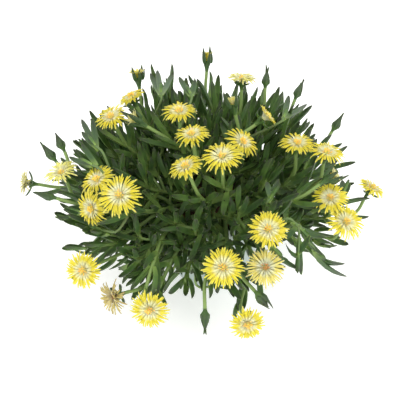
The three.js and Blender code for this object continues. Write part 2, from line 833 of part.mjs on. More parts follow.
/** The curve that a branch follows from its root to the middle of its growing points. */
function branchCurve(branch, bend) {
  const middle = new Vector3();
  const direction = new Vector3();
  branch.points.forEach((point) => {
    middle.add(point.end);
    direction.add(point.direction);
  });
  middle.divideScalar(branch.points.length);
  direction.normalize();
  const start = along(branch.root, UP, 2);
  const chord = middle.clone().sub(start);
  const reach = chord.length();
  const aside = squareTo(chord.normalize(), UP).cross(chord);
  const first = along(start, UP, reach * 0.38).addScaledVector(aside, bend[0] * 0.3);
  const second = along(middle, direction, -reach * 0.3).addScaledVector(aside, bend[0]);
  second.z += bend[1];
  return new THREE.CubicBezierCurve3(start, first, second, middle);
}

/** Lays out a branch's trunk, which ends part of the way up its curve, clear of the others. */
function growTrunk(branch) {
  for (const bend of BENDS) {
    const curve = branchCurve(branch, bend);
    const least = BRANCHES.shortest / curve.getLength();
    const share = Math.min(BRANCHES.longest, Math.max(BRANCHES.trunk, least));
    const points = Array.from({ length: 9 }, (_, index) => curve.getPoint((share * index) / 8));
    branch.trunk = new THREE.CatmullRomCurve3(points);
    branch.rings = setForks(branch);
    const list = lineBalls(branch.rings.map((ring) => ring.centre), STEM.main);
    if (clearOfGrowth(list, () => false)) {
      putDown(list, { branch: branch.index, sort: 'trunk' });
      return;
    }
  }
  throw new Error(`no room for branch ${branch.index}`);
}

/**
 * A stem's curve from its base to its end. It leaves along its heading, runs straight over its
 * leafy end, and a bend swings or lifts it between the two.
 */
function stemCurve(start, heading, point, bend) {
  const chord = point.end.clone().sub(start);
  const reach = chord.length();
  const aside = squareTo(chord.normalize(), UP).cross(chord);
  const lead = along(start, heading, Math.min(RING.lead, reach * 0.2));
  const straight = along(point.end, point.direction, -Math.min(RING.straight, reach * 0.4));
  const middle = lead.clone().add(straight).multiplyScalar(0.5);
  middle.addScaledVector(heading, reach * 0.1).addScaledVector(point.direction, -reach * 0.1);
  middle.addScaledVector(aside, bend[0]).addScaledVector(UP, bend[1]);
  return new THREE.CatmullRomCurve3([start, lead, middle, straight, point.end]);
}

/** Balls along a line through points, about every 3 mm. */
function lineBalls(points, radius) {
  const list = [];
  for (let index = 1; index < points.length; index += 1) {
    const span = points[index].clone().sub(points[index - 1]);
    const count = Math.max(1, Math.ceil(span.length() / BALL_STEP));
    for (let step = 0; step < count; step += 1) {
      list.push({ point: along(points[index - 1], span, step / count), radius });
    }
  }
  return list;
}

/** Lays out the rings of a branch's trunk, with a fork below its top for every other two stems. */
function setForks({ trunk, points }) {
  const length = trunk.getLength();
  const count = Math.ceil((points.length - 1) / FORKING.stems);
  const stops = [{ reach: 0 }];
  for (let fork = 1; fork <= count; fork += 1) {
    const reach = length * (FORK.first + ((1 - FORK.first) * fork) / (count + 1)) - FORK.foot / 2;
    stops.push({ reach, sides: [null, null, null, null] }, { reach: reach + FORK.foot });
  }
  if (count === 0) {
    bendRings(trunk, 0, length).forEach((bend) => stops.push({ reach: bend }));
  }
  return framesAlong(trunk, [...stops, { reach: length }], VIEW_RIGHT);
}

/** The top of a branch's trunk, where its leading stem starts. */
function trunkTop({ rings }) {
  const { centre, axis, east } = rings[rings.length - 1];
  return { start: centre, heading: axis, east, collar: 0 };
}

/** The free sides of a branch's trunk, those that face a point first. */
function freeSides(branch, point) {
  const list = [];
  branch.rings.filter((ring) => ring.sides).forEach((ring) => {
    const middle = along(ring.centre, ring.axis, FORK.foot / 2);
    const wanted = point.end.clone().sub(middle).normalize();
    const busy = ring.sides.filter((other) => other).length * FORKING.crowding;
    ring.sides.forEach((taken, side) => {
      const out = sideNormal(ring, side);
      const start = along(middle, out, STEM.main * SQUARE_SIDE);
      const heading = along(out.clone().multiplyScalar(FORK.out), ring.axis, FORK.ahead).normalize();
      const base = { ring, side, start, heading, east: out.clone().cross(ring.axis), collar: FORK.collar };
      if (!taken) {
        list.push({ ...base, fit: out.dot(wanted) - busy });
      }
    });
  });
  return list.sort((a, b) => b.fit - a.fit).slice(0, FORKING.tried);
}

/** Whether a stem's rings follow one another without a sharp turn. */
function smooth(rings, heading) {
  const axes = [heading, ...rings.map((ring) => ring.axis)];
  return rings.every((ring, index) => ring.axis.angleTo(axes[index]) < RING.sharpest);
}

/** Whether a stem may touch a ball of its own branch: near its start, and near its own head. */
function ownNeighbour(branch, point, start) {
  return (other, ball) => {
    const atStart = ball.point.distanceTo(start) < FORK.clear;
    const atHead = other.seat === point.seat && other.sort === 'head';
    return other.branch === branch.index
      && (atStart || (atHead && ball.point.distanceTo(point.end) < FORK.clear));
  };
}

/** Grows a stem from one of its bases to a point: the first bend that keeps clear of the rest. */
function growStem(branch, point, bases) {
  const number = branch.stems.length;
  const key = 100 * branch.index + number;
  const leafy = point.kind === 'shoot' || point.kind === 'filler';
  const radius = leafy ? STEM.shoot : STEM.stalk;
  for (const bend of BENDS) {
    for (const { start, heading, east, collar, ring: fork, side } of bases) {
      const curve = stemCurve(start, heading, point, bend);
      const pairs = leafPairs(curve.getLength(), leafy, PAIRS[point.kind]);
      const rings = stemRings({ curve, east, collar, pairs });
      const list = lineBalls([start, ...rings.map((ring) => ring.centre), point.end], radius);
      list.filter((ball) => ball.point.distanceTo(start) < collar).forEach((ball) => {
        ball.radius = FORK.swell;
      });
      const exception = ownNeighbour(branch, point, start);
      if (smooth(rings, heading) && clearOfPot(list) && clearOfGrowth(list, exception)) {
        putDown(list, { branch: branch.index, stem: number, sort: 'stem' });
        branch.stems.push({ rings, radius, point, number, leafy, east, leaves: [], key });
        if (fork) {
          fork.sides[side] = branch.stems[number];
        }
        return true;
      }
    }
  }
  return false;
}

/** How far back from a stem's end each of its pairs of leaves lies. */
function leafPairs(length, leafy, count) {
  const bare = leafy ? PAIR.bareTip : PAIR.bareStalk;
  const list = Array.from({ length: count }, (_, order) => bare + order * PAIR.spacing);
  return list.filter((back) => back < length - FORK.collar - PAIR.foot);
}

/** The leaf on one side of a stem, turned round it and leaning out from it. */
function leafAt(stem, ring, side, turn, lean, key) {
  const out = sideNormal(ring, side);
  const swung = sideNormal(ring, side + (4 * turn) / FULL_TURN);
  const axis = along(ring.axis.clone().multiplyScalar(Math.cos(lean)), swung, Math.sin(lean));
  const middle = along(ring.centre, ring.axis, PAIR.foot / 2);
  return {
    side,
    order: ring.order,
    reach: ring.reach,
    root: along(middle, out, stem.radius * SQUARE_SIDE),
    axis,
    face: squareTo(axis.normalize(), swung.clone().negate()),
    length: LEAF.length * (1 + LEAF.varying * sway(key, 5)),
    width: LEAF.width,
    keel: LEAF.keel,
  };
}

// Turns and leans, in degrees, that a leaf tries in turn before it is left off
const LEAF_TRIES = [[0, 0], [14, 0], [-14, 0], [0, -6], [0, 8], [26, -3], [-26, -3], [14, 10], [-14, 10]];

/** Sets the pairs of leaves along a stem, each pair square to the one before. */
function growLeaves(branch, stem) {
  stem.rings.filter((ring) => ring.order !== undefined).reverse().forEach((ring) => {
    const level = stem.leafy ? ring.order : ring.order + 1;
    for (const side of [ring.order % 2, 2 + (ring.order % 2)]) {
      const key = stem.key * 10 + ring.order * 4 + side;
      const turn = LEAF.turn * sway(key, 4);
      const lean = PAIR_LEANS[level] * (1 + LEAF.varying * sway(key, 3));
      const leaf = firstClear(branch, stem, (extraTurn, extraLean) =>
        leafAt(stem, ring, side, turn + radians(extraTurn), lean + radians(extraLean), key),
      );
      if (leaf) {
        stem.leaves.push(leaf);
      }
    }
  });
}

/** The first of a leaf's tries that keeps clear, put down, or nothing. */
function firstClear(branch, stem, makeLeaf) {
  for (const [extraTurn, extraLean] of LEAF_TRIES) {
    const leaf = makeLeaf(extraTurn, extraLean);
    const list = leafBalls(leaf);
    const above = stem.rings.filter(({ reach }) => reach > leaf.reach && reach < leaf.reach + NEAR_ROOT.above);
    const outs = above.map((ring) => sideNormal(ring, leaf.side));
    const leansAway = outs.every((out) => leaf.axis.dot(out) > NEAR_ROOT.leastLean);
    const exception = (other, ball) =>
      other.branch === branch.index && other.stem === stem.number
      && ball.point.distanceTo(leaf.root) < (other.sort === 'stem' ? NEAR_ROOT.stem : NEAR_ROOT.leaf);
    if (leansAway && clearOfPot(list) && clearOfGrowth(list, exception)) {
      putDown(list, { branch: branch.index, stem: stem.number, sort: 'leaf' });
      return leaf;
    }
  }
  return null;
}

/** Notes the petals and heads of the growing points as put down, before any stem grows. */
function putDownHeads(branches) {
  branches.forEach(({ index, points }) => points.forEach((point) => {
    if (point.petals) {
      putDown(petalBalls(point.petals, point.place, point.direction), { sort: 'petals' });
    }
    putDown(headBalls(point), { branch: index, sort: 'head', seat: point.seat });
  }));
}

/** Grows the stem that goes on from the top of a branch's trunk, to the point that suits it best. */
function growLeader(branch) {
  const top = trunkTop(branch);
  const fit = (point) => point.end.clone().sub(top.start).normalize().dot(top.heading);
  const candidates = [...branch.points].sort((a, b) => fit(b) - fit(a));
  branch.leader = candidates.find((point) => growStem(branch, point, [top]));
}

/** Lays out the whole plant: trunks, then stems, the flower stalks first, then leaves. */
function growPlant() {
  const seen = growingPoints();
  const outer = [...seen, ...fillers(seen, FILLER)];
  const points = [...outer, ...fillers(outer, INNER)];
  const branches = shareOut(points, branchRoots());
  putDownHeads(branches);
  branches.forEach(growTrunk);
  branches.forEach(growLeader);
  for (const kind of Object.keys(PAIRS)) {
    for (const branch of branches) {
      branch.points
        .filter((point) => point.kind === kind && point !== branch.leader)
        .forEach((point) => growStem(branch, point, freeSides(branch, point)));
    }
  }
  branches.forEach((branch) => branch.stems.forEach((stem) => growLeaves(branch, stem)));
  return { branches, points };
}

/** The pot: a tapered shell with a rim band, a flat floor and drain holes. */
function potGeometry() {
  const { height, rimRadius, bandHeight, bandStep, footRadius, footHeight, wall, floor, sides } = POT;
  const under = rimRadius - bandStep;
  const bandFoot = height - bandHeight;
  const shell = turned([
    [0, 0],
    [footRadius - 1.2, 0],
    [potRadius(footHeight), footHeight],
    [under, bandFoot],
    [rimRadius, bandFoot + 1],
    [rimRadius, height - 1],
    [rimRadius - wall / 2, height],
    [rimRadius - wall, height - 1],
    [rimRadius - wall, bandFoot + 2],
    [under - wall, bandFoot],
    [footRadius - wall, floor],
    [0, floor],
  ], sides);
  let pot = solidOf(shell);
  for (let hole = 0; hole < DRAIN.count; hole += 1) {
    const angle = (FULL_TURN * hole) / DRAIN.count;
    const drill = new THREE.CylinderGeometry(DRAIN.radius, DRAIN.radius, floor * 4, 10).rotateX(Math.PI / 2);
    drill.translate(DRAIN.ring * Math.cos(angle), DRAIN.ring * Math.sin(angle), 0);
    pot = pot.subtract(solidOf(drill));
  }
  return geometryOf(pot);
}

/** The potting mix: it fills the pot to below the rim, with a plain hole for each branch. */
function soilGeometry(branches) {
  const { height, rimRadius, bandHeight, bandStep, footRadius, wall, floor, sides } = POT;
  const bandFoot = height - bandHeight;
  const insideTop = rimRadius - bandStep - wall - GAP;
  const insideFoot = footRadius - wall - GAP * 0.4;
  let soil = solidOf(turned([
    [0, floor + GAP],
    [insideFoot, floor + GAP],
    [insideTop, bandFoot],
    [insideTop, soilTop(insideTop)],
    [rimRadius / 2 - 2, soilTop(0)],
    [0, soilTop(0)],
  ], sides));
  const holeRadius = (STEM.main + GAP) / Math.cos(Math.PI / 6);
  for (const { root } of branches) {
    const drill = new THREE.CylinderGeometry(holeRadius, holeRadius, STEM.depth * 2, 6).rotateX(Math.PI / 2);
    soil = soil.subtract(solidOf(drill.translate(root.x, root.y, root.z)));
  }
  return geometryOf(soil);
}

/** One branch: its foot in the potting mix, its trunk and all that grows on it. */
function branchGeometry(branch) {
  const skin = new Skin();
  const square = Array.from({ length: 4 }, () => [STEM.main, 0]);
  const { east } = branch.rings[0];
  const foot = { centre: along(branch.root, UP, GAP - STEM.depth), axis: UP, ...axesAbout(UP, east) };
  let ring = skin.ring(foot, square);
  skin.face(ring[0], ring[2], ring[1], ring[0], ring[3], ring[2]);
  let sides = [];
  for (const frame of branch.rings) {
    const next = skin.ring(frame, square);
    const below = sides;
    skinSides(skin, ring, next, (side) => below[side]);
    ring = next;
    sides = frame.sides ?? [];
  }
  skinStem(skin, ring, branch.stems[0]);
  return skin.geometry();
}

/** A named mesh with its finish. */
function mesh(name, geometry, color, roughness) {
  const material = new THREE.MeshStandardMaterial({ color, roughness, metalness: 0 });
  const piece = new THREE.Mesh(geometry, material);
  piece.name = name;
  return piece;
}

/** A name with a two-digit number, counted from one. */
function numbered(name, index) {
  return `${name}_${String(index + 1).padStart(2, '0')}`;
}

const plant = growPlant();
const group = new THREE.Group();
group.add(mesh('pot', potGeometry(), 0xb5c4be, 0.5));
group.add(mesh('soil', soilGeometry(plant.branches), 0x4a3626, 0.95));
plant.branches.forEach((branch) => {
  group.add(mesh(numbered('branch', branch.index), branchGeometry(branch), 0x4b6b37, 0.45));
});
const FLOWERS = {
  bloom: { name: 'bloom', color: 0xefd63c },
  tuft: { name: 'half_open', color: 0xe6d35a },
};
plant.points.filter(({ petals }) => petals).forEach(({ kind, index, petals, place, direction }) => {
  const { name, color } = FLOWERS[kind];
  group.add(mesh(numbered(name, index), aim(petalRing(petals), place, direction), color, 0.6));
});

export default group;
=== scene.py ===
"""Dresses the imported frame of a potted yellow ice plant.

The layout classes repeat the rule and the sizes by which the solids are grown, in millimetres, so
that each finer piece lies where its node is. The classes after them build the pot, the potting
mix, the leafy branches and the blooms, and give each its finish. Every mesh is in metres.
"""

from __future__ import annotations

import json
import logging
import math
from dataclasses import dataclass, field, replace
from enum import Enum, IntEnum
from functools import partial
from typing import Any, Callable, ClassVar, Iterable, Sequence

import bmesh
import bpy
import numpy as np
from mathutils import Matrix, Vector

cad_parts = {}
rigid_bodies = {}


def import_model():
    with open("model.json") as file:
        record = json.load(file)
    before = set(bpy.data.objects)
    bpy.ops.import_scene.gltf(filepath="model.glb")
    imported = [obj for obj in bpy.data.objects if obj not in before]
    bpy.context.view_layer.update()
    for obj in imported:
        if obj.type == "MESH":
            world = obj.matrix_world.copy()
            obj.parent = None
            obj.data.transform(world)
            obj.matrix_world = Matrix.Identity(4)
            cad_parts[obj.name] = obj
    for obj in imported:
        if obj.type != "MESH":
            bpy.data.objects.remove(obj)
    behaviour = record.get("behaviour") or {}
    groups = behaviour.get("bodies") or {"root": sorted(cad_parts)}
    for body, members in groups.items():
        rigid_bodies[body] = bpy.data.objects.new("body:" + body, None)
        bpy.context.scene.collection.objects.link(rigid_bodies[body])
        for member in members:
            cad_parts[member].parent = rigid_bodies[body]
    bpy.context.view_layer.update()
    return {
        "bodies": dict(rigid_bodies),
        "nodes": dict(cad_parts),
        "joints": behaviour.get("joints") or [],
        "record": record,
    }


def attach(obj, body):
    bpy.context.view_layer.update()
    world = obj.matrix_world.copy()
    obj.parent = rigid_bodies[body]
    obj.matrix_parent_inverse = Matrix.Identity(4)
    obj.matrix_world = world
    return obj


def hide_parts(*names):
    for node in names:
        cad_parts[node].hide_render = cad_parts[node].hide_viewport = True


log = logging.getLogger("ice plant")

METRES = 0.001
FULL_TURN = 2 * math.pi
GOLDEN_ANGLE = math.pi * (3 - math.sqrt(5))
QUARTERS = 4
SEED = 20417
WORD = 0xFFFFFFFF
MIXERS = (0x9E3779B1, 0x85EBCA6B)
CREASE = math.radians(50)
CURL = 0.1
SICKLE = 0.42

Vec = np.ndarray
Place = tuple[float, float]
Stop = tuple[float, "int | None", bool]
Socket = bpy.types.NodeSocket
Adder = Callable[..., Socket]
Allowance = Callable[[np.ndarray, np.ndarray], np.ndarray]
UP: Vec = np.array([0.0, 0.0, 1.0])
RIGHT: Vec = np.array([1.0, 0.0, 0.0])


class Chance(IntEnum):
    """What a draw is for, given as the last of its keys."""

    LEAF_LEAN = 3
    LEAF_TURN = 4
    LEAF_LENGTH = 5
    FORM = 11
    TONE = 12
    SHORTENING = 13
    BRIGHTNESS = 14
    HEAD_LEAN = 21
    HEAD_SIZE = 22
    CRUMB = 31
    SHELL_HEIGHT = 41
    SHELL_TURN = 42
    SHELL_AIM = 43
    CURTAIN_TURN = 51
    CURTAIN_HEIGHT = 52
    CURTAIN_REACH = 53
    CURTAIN_OUT = 54
    CURTAIN_UP = 55
    CURTAIN_ASIDE = 56
    MORE_TURN = 61
    MORE_LEAN = 62
    MORE_LENGTH = 63


def draw(*keys: int) -> float:
    """Give a repeatable number from 0 to 1.

    Args:
        keys: whole numbers that name what the number is for.

    Returns:
        The number, the same on every run.
    """
    state = SEED
    for key in keys:
        state = ((state ^ key) * MIXERS[0]) & WORD
        state ^= state >> 15
        state = (state * MIXERS[1]) & WORD
        state ^= state >> 13
    return state / (WORD + 1)


def sway(*keys: int) -> float:
    """Give a repeatable number from -1 to 1."""
    return 2 * draw(*keys) - 1


def length_of(vector: Vec) -> float:
    """Give a vector's length."""
    return math.sqrt(vector[0] * vector[0] + vector[1] * vector[1] + vector[2] * vector[2])


def unit(vector: Vec) -> Vec:
    """Give a vector's direction."""
    return vector * (1 / (length_of(vector) or 1))


def distances(points: np.ndarray, place: Vec) -> np.ndarray:
    """Give how far points lie from a place."""
    return np.sqrt(np.sum((points - place) ** 2, axis=1))


def angle_between(a: Vec, b: Vec) -> float:
    """Give the angle between two unit vectors."""
    return math.acos(max(-1.0, min(1.0, float(a @ b))))


def square_to(axis: Vec, wanted: Vec) -> Vec:
    """Find a unit vector square to an axis.

    Args:
        axis: the unit axis.
        wanted: the direction that the result should lie near.

    Returns:
        The unit vector.
    """
    side = wanted - axis * float(wanted @ axis)
    if length_of(side) < 1e-6:
        return square_to(axis, np.array([axis[1], axis[2], axis[0]]))
    return unit(side)


def bezier(controls: Sequence[Vec], share: np.ndarray) -> np.ndarray:
    """Give points of a Bezier curve.

    Args:
        controls: its four control points.
        share: shares of the way along it.

    Returns:
        One row for each share.
    """
    first, second, third, fourth = controls
    ahead = np.asarray(share, float)[..., None]
    back = 1 - ahead
    start = back**3 * first + 3 * back**2 * ahead * second
    return start + 3 * back * ahead**2 * third + ahead**3 * fourth


@dataclass(frozen=True)
class Frame:
    """A place on a stem: its centre, its axis and the two directions across it."""

    centre: Vec
    axis: Vec
    east: Vec
    north: Vec
    reach: float = 0.0
    order: int | None = None
    forks: bool = False
    sides: dict[int, "Stem"] = field(default_factory=dict)

    def side(self, number: float) -> Vec:
        """Give the outward direction of one of the four sides, or of a place between two."""
        angle = FULL_TURN * number / QUARTERS
        return self.east * math.cos(angle) + self.north * math.sin(angle)


def frame_about(centre: Vec, axis: Vec, wanted: Vec) -> Frame:
    """Make the frame at a place whose east lies as near as possible to a wanted direction."""
    east = square_to(axis, wanted)
    return Frame(centre, axis, east, np.cross(axis, east))


class Path:
    """A smooth curve through points, measured by its length."""

    DIVISIONS = 200
    DELTA = 0.0001

    def __init__(self, points: Sequence[Vec]) -> None:
        """Fit the curve.

        Args:
            points: three or more points that the curve runs through.
        """
        knots = np.asarray(points, float)
        before = 2 * knots[0] - knots[1]
        after = 2 * knots[-1] - knots[-2]
        knots = np.vstack([before, knots, after])
        steps = np.power(np.sum(np.diff(knots, axis=0) ** 2, axis=1), 0.25)[:, None]
        p0, p1, p2, p3 = knots[:-3], knots[1:-2], knots[2:-1], knots[3:]
        d0, d1, d2 = steps[:-2], steps[1:-1], steps[2:]
        first = ((p1 - p0) / d0 - (p2 - p0) / (d0 + d1) + (p2 - p1) / d1) * d1
        last = ((p2 - p1) / d1 - (p3 - p1) / (d1 + d2) + (p3 - p2) / d2) * d1
        square = -3 * p1 + 3 * p2 - 2 * first - last
        cube = 2 * p1 - 2 * p2 + first + last
        self.spans = np.stack([p1, first, square, cube], axis=1)
        self.shares = np.arange(self.DIVISIONS + 1) / self.DIVISIONS
        steps = np.sqrt(np.sum(np.diff(self.at(self.shares), axis=0) ** 2, axis=1))
        self.table = np.concatenate([[0.0], np.cumsum(steps)])
        self.length = float(self.table[-1])

    def at(self, share: np.ndarray) -> np.ndarray:
        """Give points of the curve.

        Args:
            share: shares of the way, counted in knots.

        Returns:
            One row for each share.
        """
        place = np.asarray(share, float) * len(self.spans)
        span = np.minimum(np.floor(place).astype(int), len(self.spans) - 1)
        weight = (place - span)[..., None]
        c0, c1, c2, c3 = np.moveaxis(self.spans[span], -2, 0)
        return c0 + c1 * weight + c2 * weight * weight + c3 * weight * weight * weight

    def knot_share(self, share: np.ndarray) -> np.ndarray:
        """Turn a share of the length into a share of the way counted in knots."""
        return np.interp(np.asarray(share, float) * self.length, self.table, self.shares)

    def points(self, share: np.ndarray) -> np.ndarray:
        """Give points for shares of the length."""
        return self.at(self.knot_share(share))

    def tangents(self, share: np.ndarray) -> np.ndarray:
        """Give the curve's directions.

        Args:
            share: shares of the length.

        Returns:
            One unit row for each share.
        """
        place = self.knot_share(share)
        ahead = self.at(np.minimum(place + self.DELTA, 1.0))
        step = ahead - self.at(np.maximum(place - self.DELTA, 0.0))
        return step / np.sqrt(np.sum(step * step, axis=-1, keepdims=True))

    def frame(self, share: float, east: Vec) -> Frame:
        """Give the frame at a share of the length, turned as little as can be from an east."""
        return frame_about(self.points(share), self.tangents(share), east)


class BloomAge(Enum):
    """How far on an open bloom is."""

    FRESH = "fresh"
    PALE = "pale"
    DULL = "dull"
    FADED = "faded"
    WITHERED = "withered"


@dataclass(frozen=True)
class Spot:
    """A place in the view, and how what stands there is turned.

    left and top are in the view, diameter is in mm, heading is the way it faces in the view in
    degrees with 90 up, open is the share of its disc that shows, near is how many mm nearer than
    the mound it stands, and cup is how steeply its petals rise in degrees.
    """

    left: float
    top: float
    heading: float = 90.0
    open: float = 0.1
    near: float = 0.0
    diameter: float = 0.0
    cup: float = 9.0
    age: BloomAge = BloomAge.FRESH


BLOOMS: tuple[Spot, ...] = (
    Spot(132, 98, 120, 0.5, -4, 27),
    Spot(112, 118, 115, 0.72, 6, 32),
    Spot(179, 113, 95, 0.62, 2, 33),
    Spot(192, 136, 100, 0.64, 2, 32),
    Spot(242, 80, 88, 0.42, 0, 28, age=BloomAge.PALE),
    Spot(241, 143, 50, 0.66, -8, 34),
    Spot(222, 158, 95, 0.72, 10, 38),
    Spot(186, 168, 115, 0.65, 4, 31),
    Spot(264, 118, 38, 0.25, 0, 25, 38),
    Spot(297, 145, 88, 0.6, -8, 35),
    Spot(326, 154, 80, 0.58, 10, 36),
    Spot(98, 181, 125, 0.7, -10, 34),
    Spot(120, 196, 110, 0.93, 12, 39),
    Spot(93, 208, 200, 0.8, -6, 34),
    Spot(62, 174, 115, 0.62, 0, 33, age=BloomAge.PALE),
    Spot(28, 183, 172, 0.38, 0, 29, age=BloomAge.DULL),
    Spot(371, 189, 60, 0.5, 0, 29),
    Spot(330, 199, 100, 0.85, -6, 34),
    Spot(345, 223, 65, 0.85, 10, 36),
    Spot(268, 230, 90, 0.92, 4, 35),
    Spot(223, 268, 90, 0.97, 8, 36),
    Spot(265, 268, 80, 0.95, 2, 34, age=BloomAge.FADED),
    Spot(84, 270, 200, 0.96, 0, 34),
    Spot(116, 296, 195, 0.7, 0, 30, 30, BloomAge.WITHERED),
    Spot(150, 309, 250, 0.97, 4, 35),
    Spot(247, 323, 290, 0.92, 2, 32),
)

HALF_OPEN: tuple[Spot, ...] = (
    Spot(207, 62, 88, 0.2, 0, 11, 80),
    Spot(138, 79, 98, 0.3, -10, 11, 62),
    Spot(233, 105, 105, 0.5, 0, 7, 70, BloomAge.PALE),
    Spot(138, 121, 150, 0.4, 0, 10, 64, BloomAge.PALE),
    Spot(329, 178, 35, 0.3, 12, 9, 72, BloomAge.PALE),
)

BUDS: tuple[Spot, ...] = (
    Spot(61, 144, 115), Spot(51, 155, 128), Spot(48, 196, 165), Spot(266, 80, 84), Spot(298, 92, 68),
    Spot(336, 125, 58), Spot(261, 298, 312, 0.2), Spot(205, 318, 270),
)  # fmt: skip

# Places of the outline's leafy shoots, by the tips of their leaves
SHOOTS: tuple[Place, ...] = (
    (160, 65), (184, 76), (218, 76), (281, 93), (309, 100), (303, 113), (316, 127), (352, 152),
    (346, 182), (366, 208), (352, 256), (341, 268), (300, 272), (88, 117), (79, 143), (68, 157),
    (62, 221), (79, 230), (74, 248), (181, 297), (236, 296), (135, 325),
)  # fmt: skip

# The gap at the front through which the pot shows: its left and right edges and its top
FRONT_GAP = (180.0, 274.0, 226.0)

# The outline of the dense foliage in the view
HEM: tuple[Place, ...] = (
    (84, 138), (92, 119), (112, 126), (132, 112), (147, 102), (155, 74), (171, 74), (173, 90), (190, 84),
    (200, 70), (216, 74), (222, 90), (256, 88), (276, 96), (292, 92), (303, 102), (297, 120), (318, 128),
    (324, 140), (345, 151), (341, 166), (329, 171), (340, 182), (319, 190), (318, 206), (336, 236),
    (300, 230), (282, 222), (266, 246), (252, 284), (236, 296), (222, 286), (200, 288), (182, 297),
    (150, 290), (122, 284), (100, 276), (76, 250), (92, 240), (76, 224), (62, 222), (72, 207),
    (52, 190), (66, 181), (80, 168), (70, 157), (80, 150),
)  # fmt: skip


@dataclass(frozen=True)
class Trail:
    """A shoot that reaches past the hem, in the view: its stem, and root and tip of its leaves."""

    stem: tuple[Place, ...]
    leaves: tuple[tuple[float, float, float, float], ...]
    near: float = 0.0
    hooked: bool = True


TRAILS: tuple[Trail, ...] = (
    Trail(
        ((298, 224), (305, 238), (316, 250)),
        ((315, 249, 353, 272), (317, 250, 349, 257), (316, 251, 341, 263), (304, 231, 317, 254)),
    ),
    Trail(
        ((297, 225), (299, 240), (298, 255)),
        ((299, 240, 301, 271), (298, 255, 285, 254), (298, 253, 306, 246)),
    ),
    Trail(
        ((288, 218), (294, 222), (300, 228)),
        ((294, 222, 333, 234), (297, 225, 283, 245), (300, 228, 318, 240)),
    ),
    Trail(((262, 236), (268, 242), (273, 247)), ((271, 245, 301, 270),)),
    Trail(((96, 214), (88, 213), (79, 213)), ((80, 213, 62, 222), (84, 213, 61, 208)), -22),
    Trail(((116, 232), (108, 231), (99, 230)), ((100, 230, 80, 231), (106, 233, 90, 238)), -22),
    Trail(
        ((102, 151), (98, 148), (95, 145)),
        ((96, 147, 81, 116), (97, 148, 92, 117), (95, 146, 82, 132)), 0, False,
    ),
    Trail(((99, 168), (95, 166), (91, 165)), ((96, 164, 81, 143), (91, 165, 69, 157)), 0, False),
    Trail(
        ((162, 97), (161, 95), (161, 92)),
        ((160, 94, 150, 68), (161, 94, 157, 65), (162, 94, 173, 67)), 0, False,
    ),
    Trail(((192, 97), (191, 95), (190, 93)), ((190, 95, 179, 76), (192, 95, 195, 80)), 0, False),
    Trail(((282, 121), (283, 119), (284, 117)), ((284, 118, 289, 93), (284, 117, 308, 99)), 0, False),
    Trail(
        ((266, 203), (269, 200), (271, 197)), ((269, 201, 279, 180), (271, 198, 266, 182)), -24, False,
    ),
    Trail(((341, 196), (342, 195), (343, 193)), ((343, 195, 342, 181), (344, 195, 349, 184)), 0, False),
)  # fmt: skip


@dataclass(frozen=True)
class View:
    """The photograph's point of view, in which the heads of the plant are placed."""

    elevation: float = math.radians(40)
    distance: float = 800.0
    focal: float = 800.0
    middle: float = 200.0
    aim: tuple[float, float, float] = (-13.0, -3.0, 88.0)

    @property
    def up(self) -> Vec:
        """Give the direction that is up in the view."""
        return np.array([0.0, math.sin(self.elevation), math.cos(self.elevation)])

    @property
    def back(self) -> Vec:
        """Give the direction from the plant to the eye."""
        return np.array([0.0, -math.cos(self.elevation), math.sin(self.elevation)])

    @property
    def eye(self) -> Vec:
        """Give the place of the eye."""
        return np.array(self.aim) + self.back * self.distance

    def sight_line(self, left: float, top: float) -> Vec:
        """Give the direction of the line of sight through a place in the view."""
        across = RIGHT * ((left - self.middle) / self.focal)
        return unit(across - self.back + self.up * ((self.middle - top) / self.focal))

    def depth(self, point: Vec) -> float:
        """Give how far a point lies from the eye."""
        return -float((point - self.eye) @ self.back)

    def place_of(self, point: Vec) -> Place:
        """Give the place in the view at which a point appears.

        Args:
            point: the point.

        Returns:
            The place, from the view's left edge and from its top.
        """
        offset, depth = point - self.eye, self.depth(point)
        left = self.middle + self.focal * float(offset @ RIGHT) / depth
        return left, self.middle - self.focal * float(offset @ self.up) / depth

    def facing(self, spot: Spot) -> Vec:
        """Give the direction that a bloom or bud faces.

        Args:
            spot: its place and heading.

        Returns:
            The unit direction.
        """
        across = math.sqrt(1 - spot.open * spot.open)
        heading = math.radians(spot.heading)
        aside = RIGHT * (across * math.cos(heading)) + self.up * (across * math.sin(heading))
        return self.back * spot.open + aside


VIEW = View()


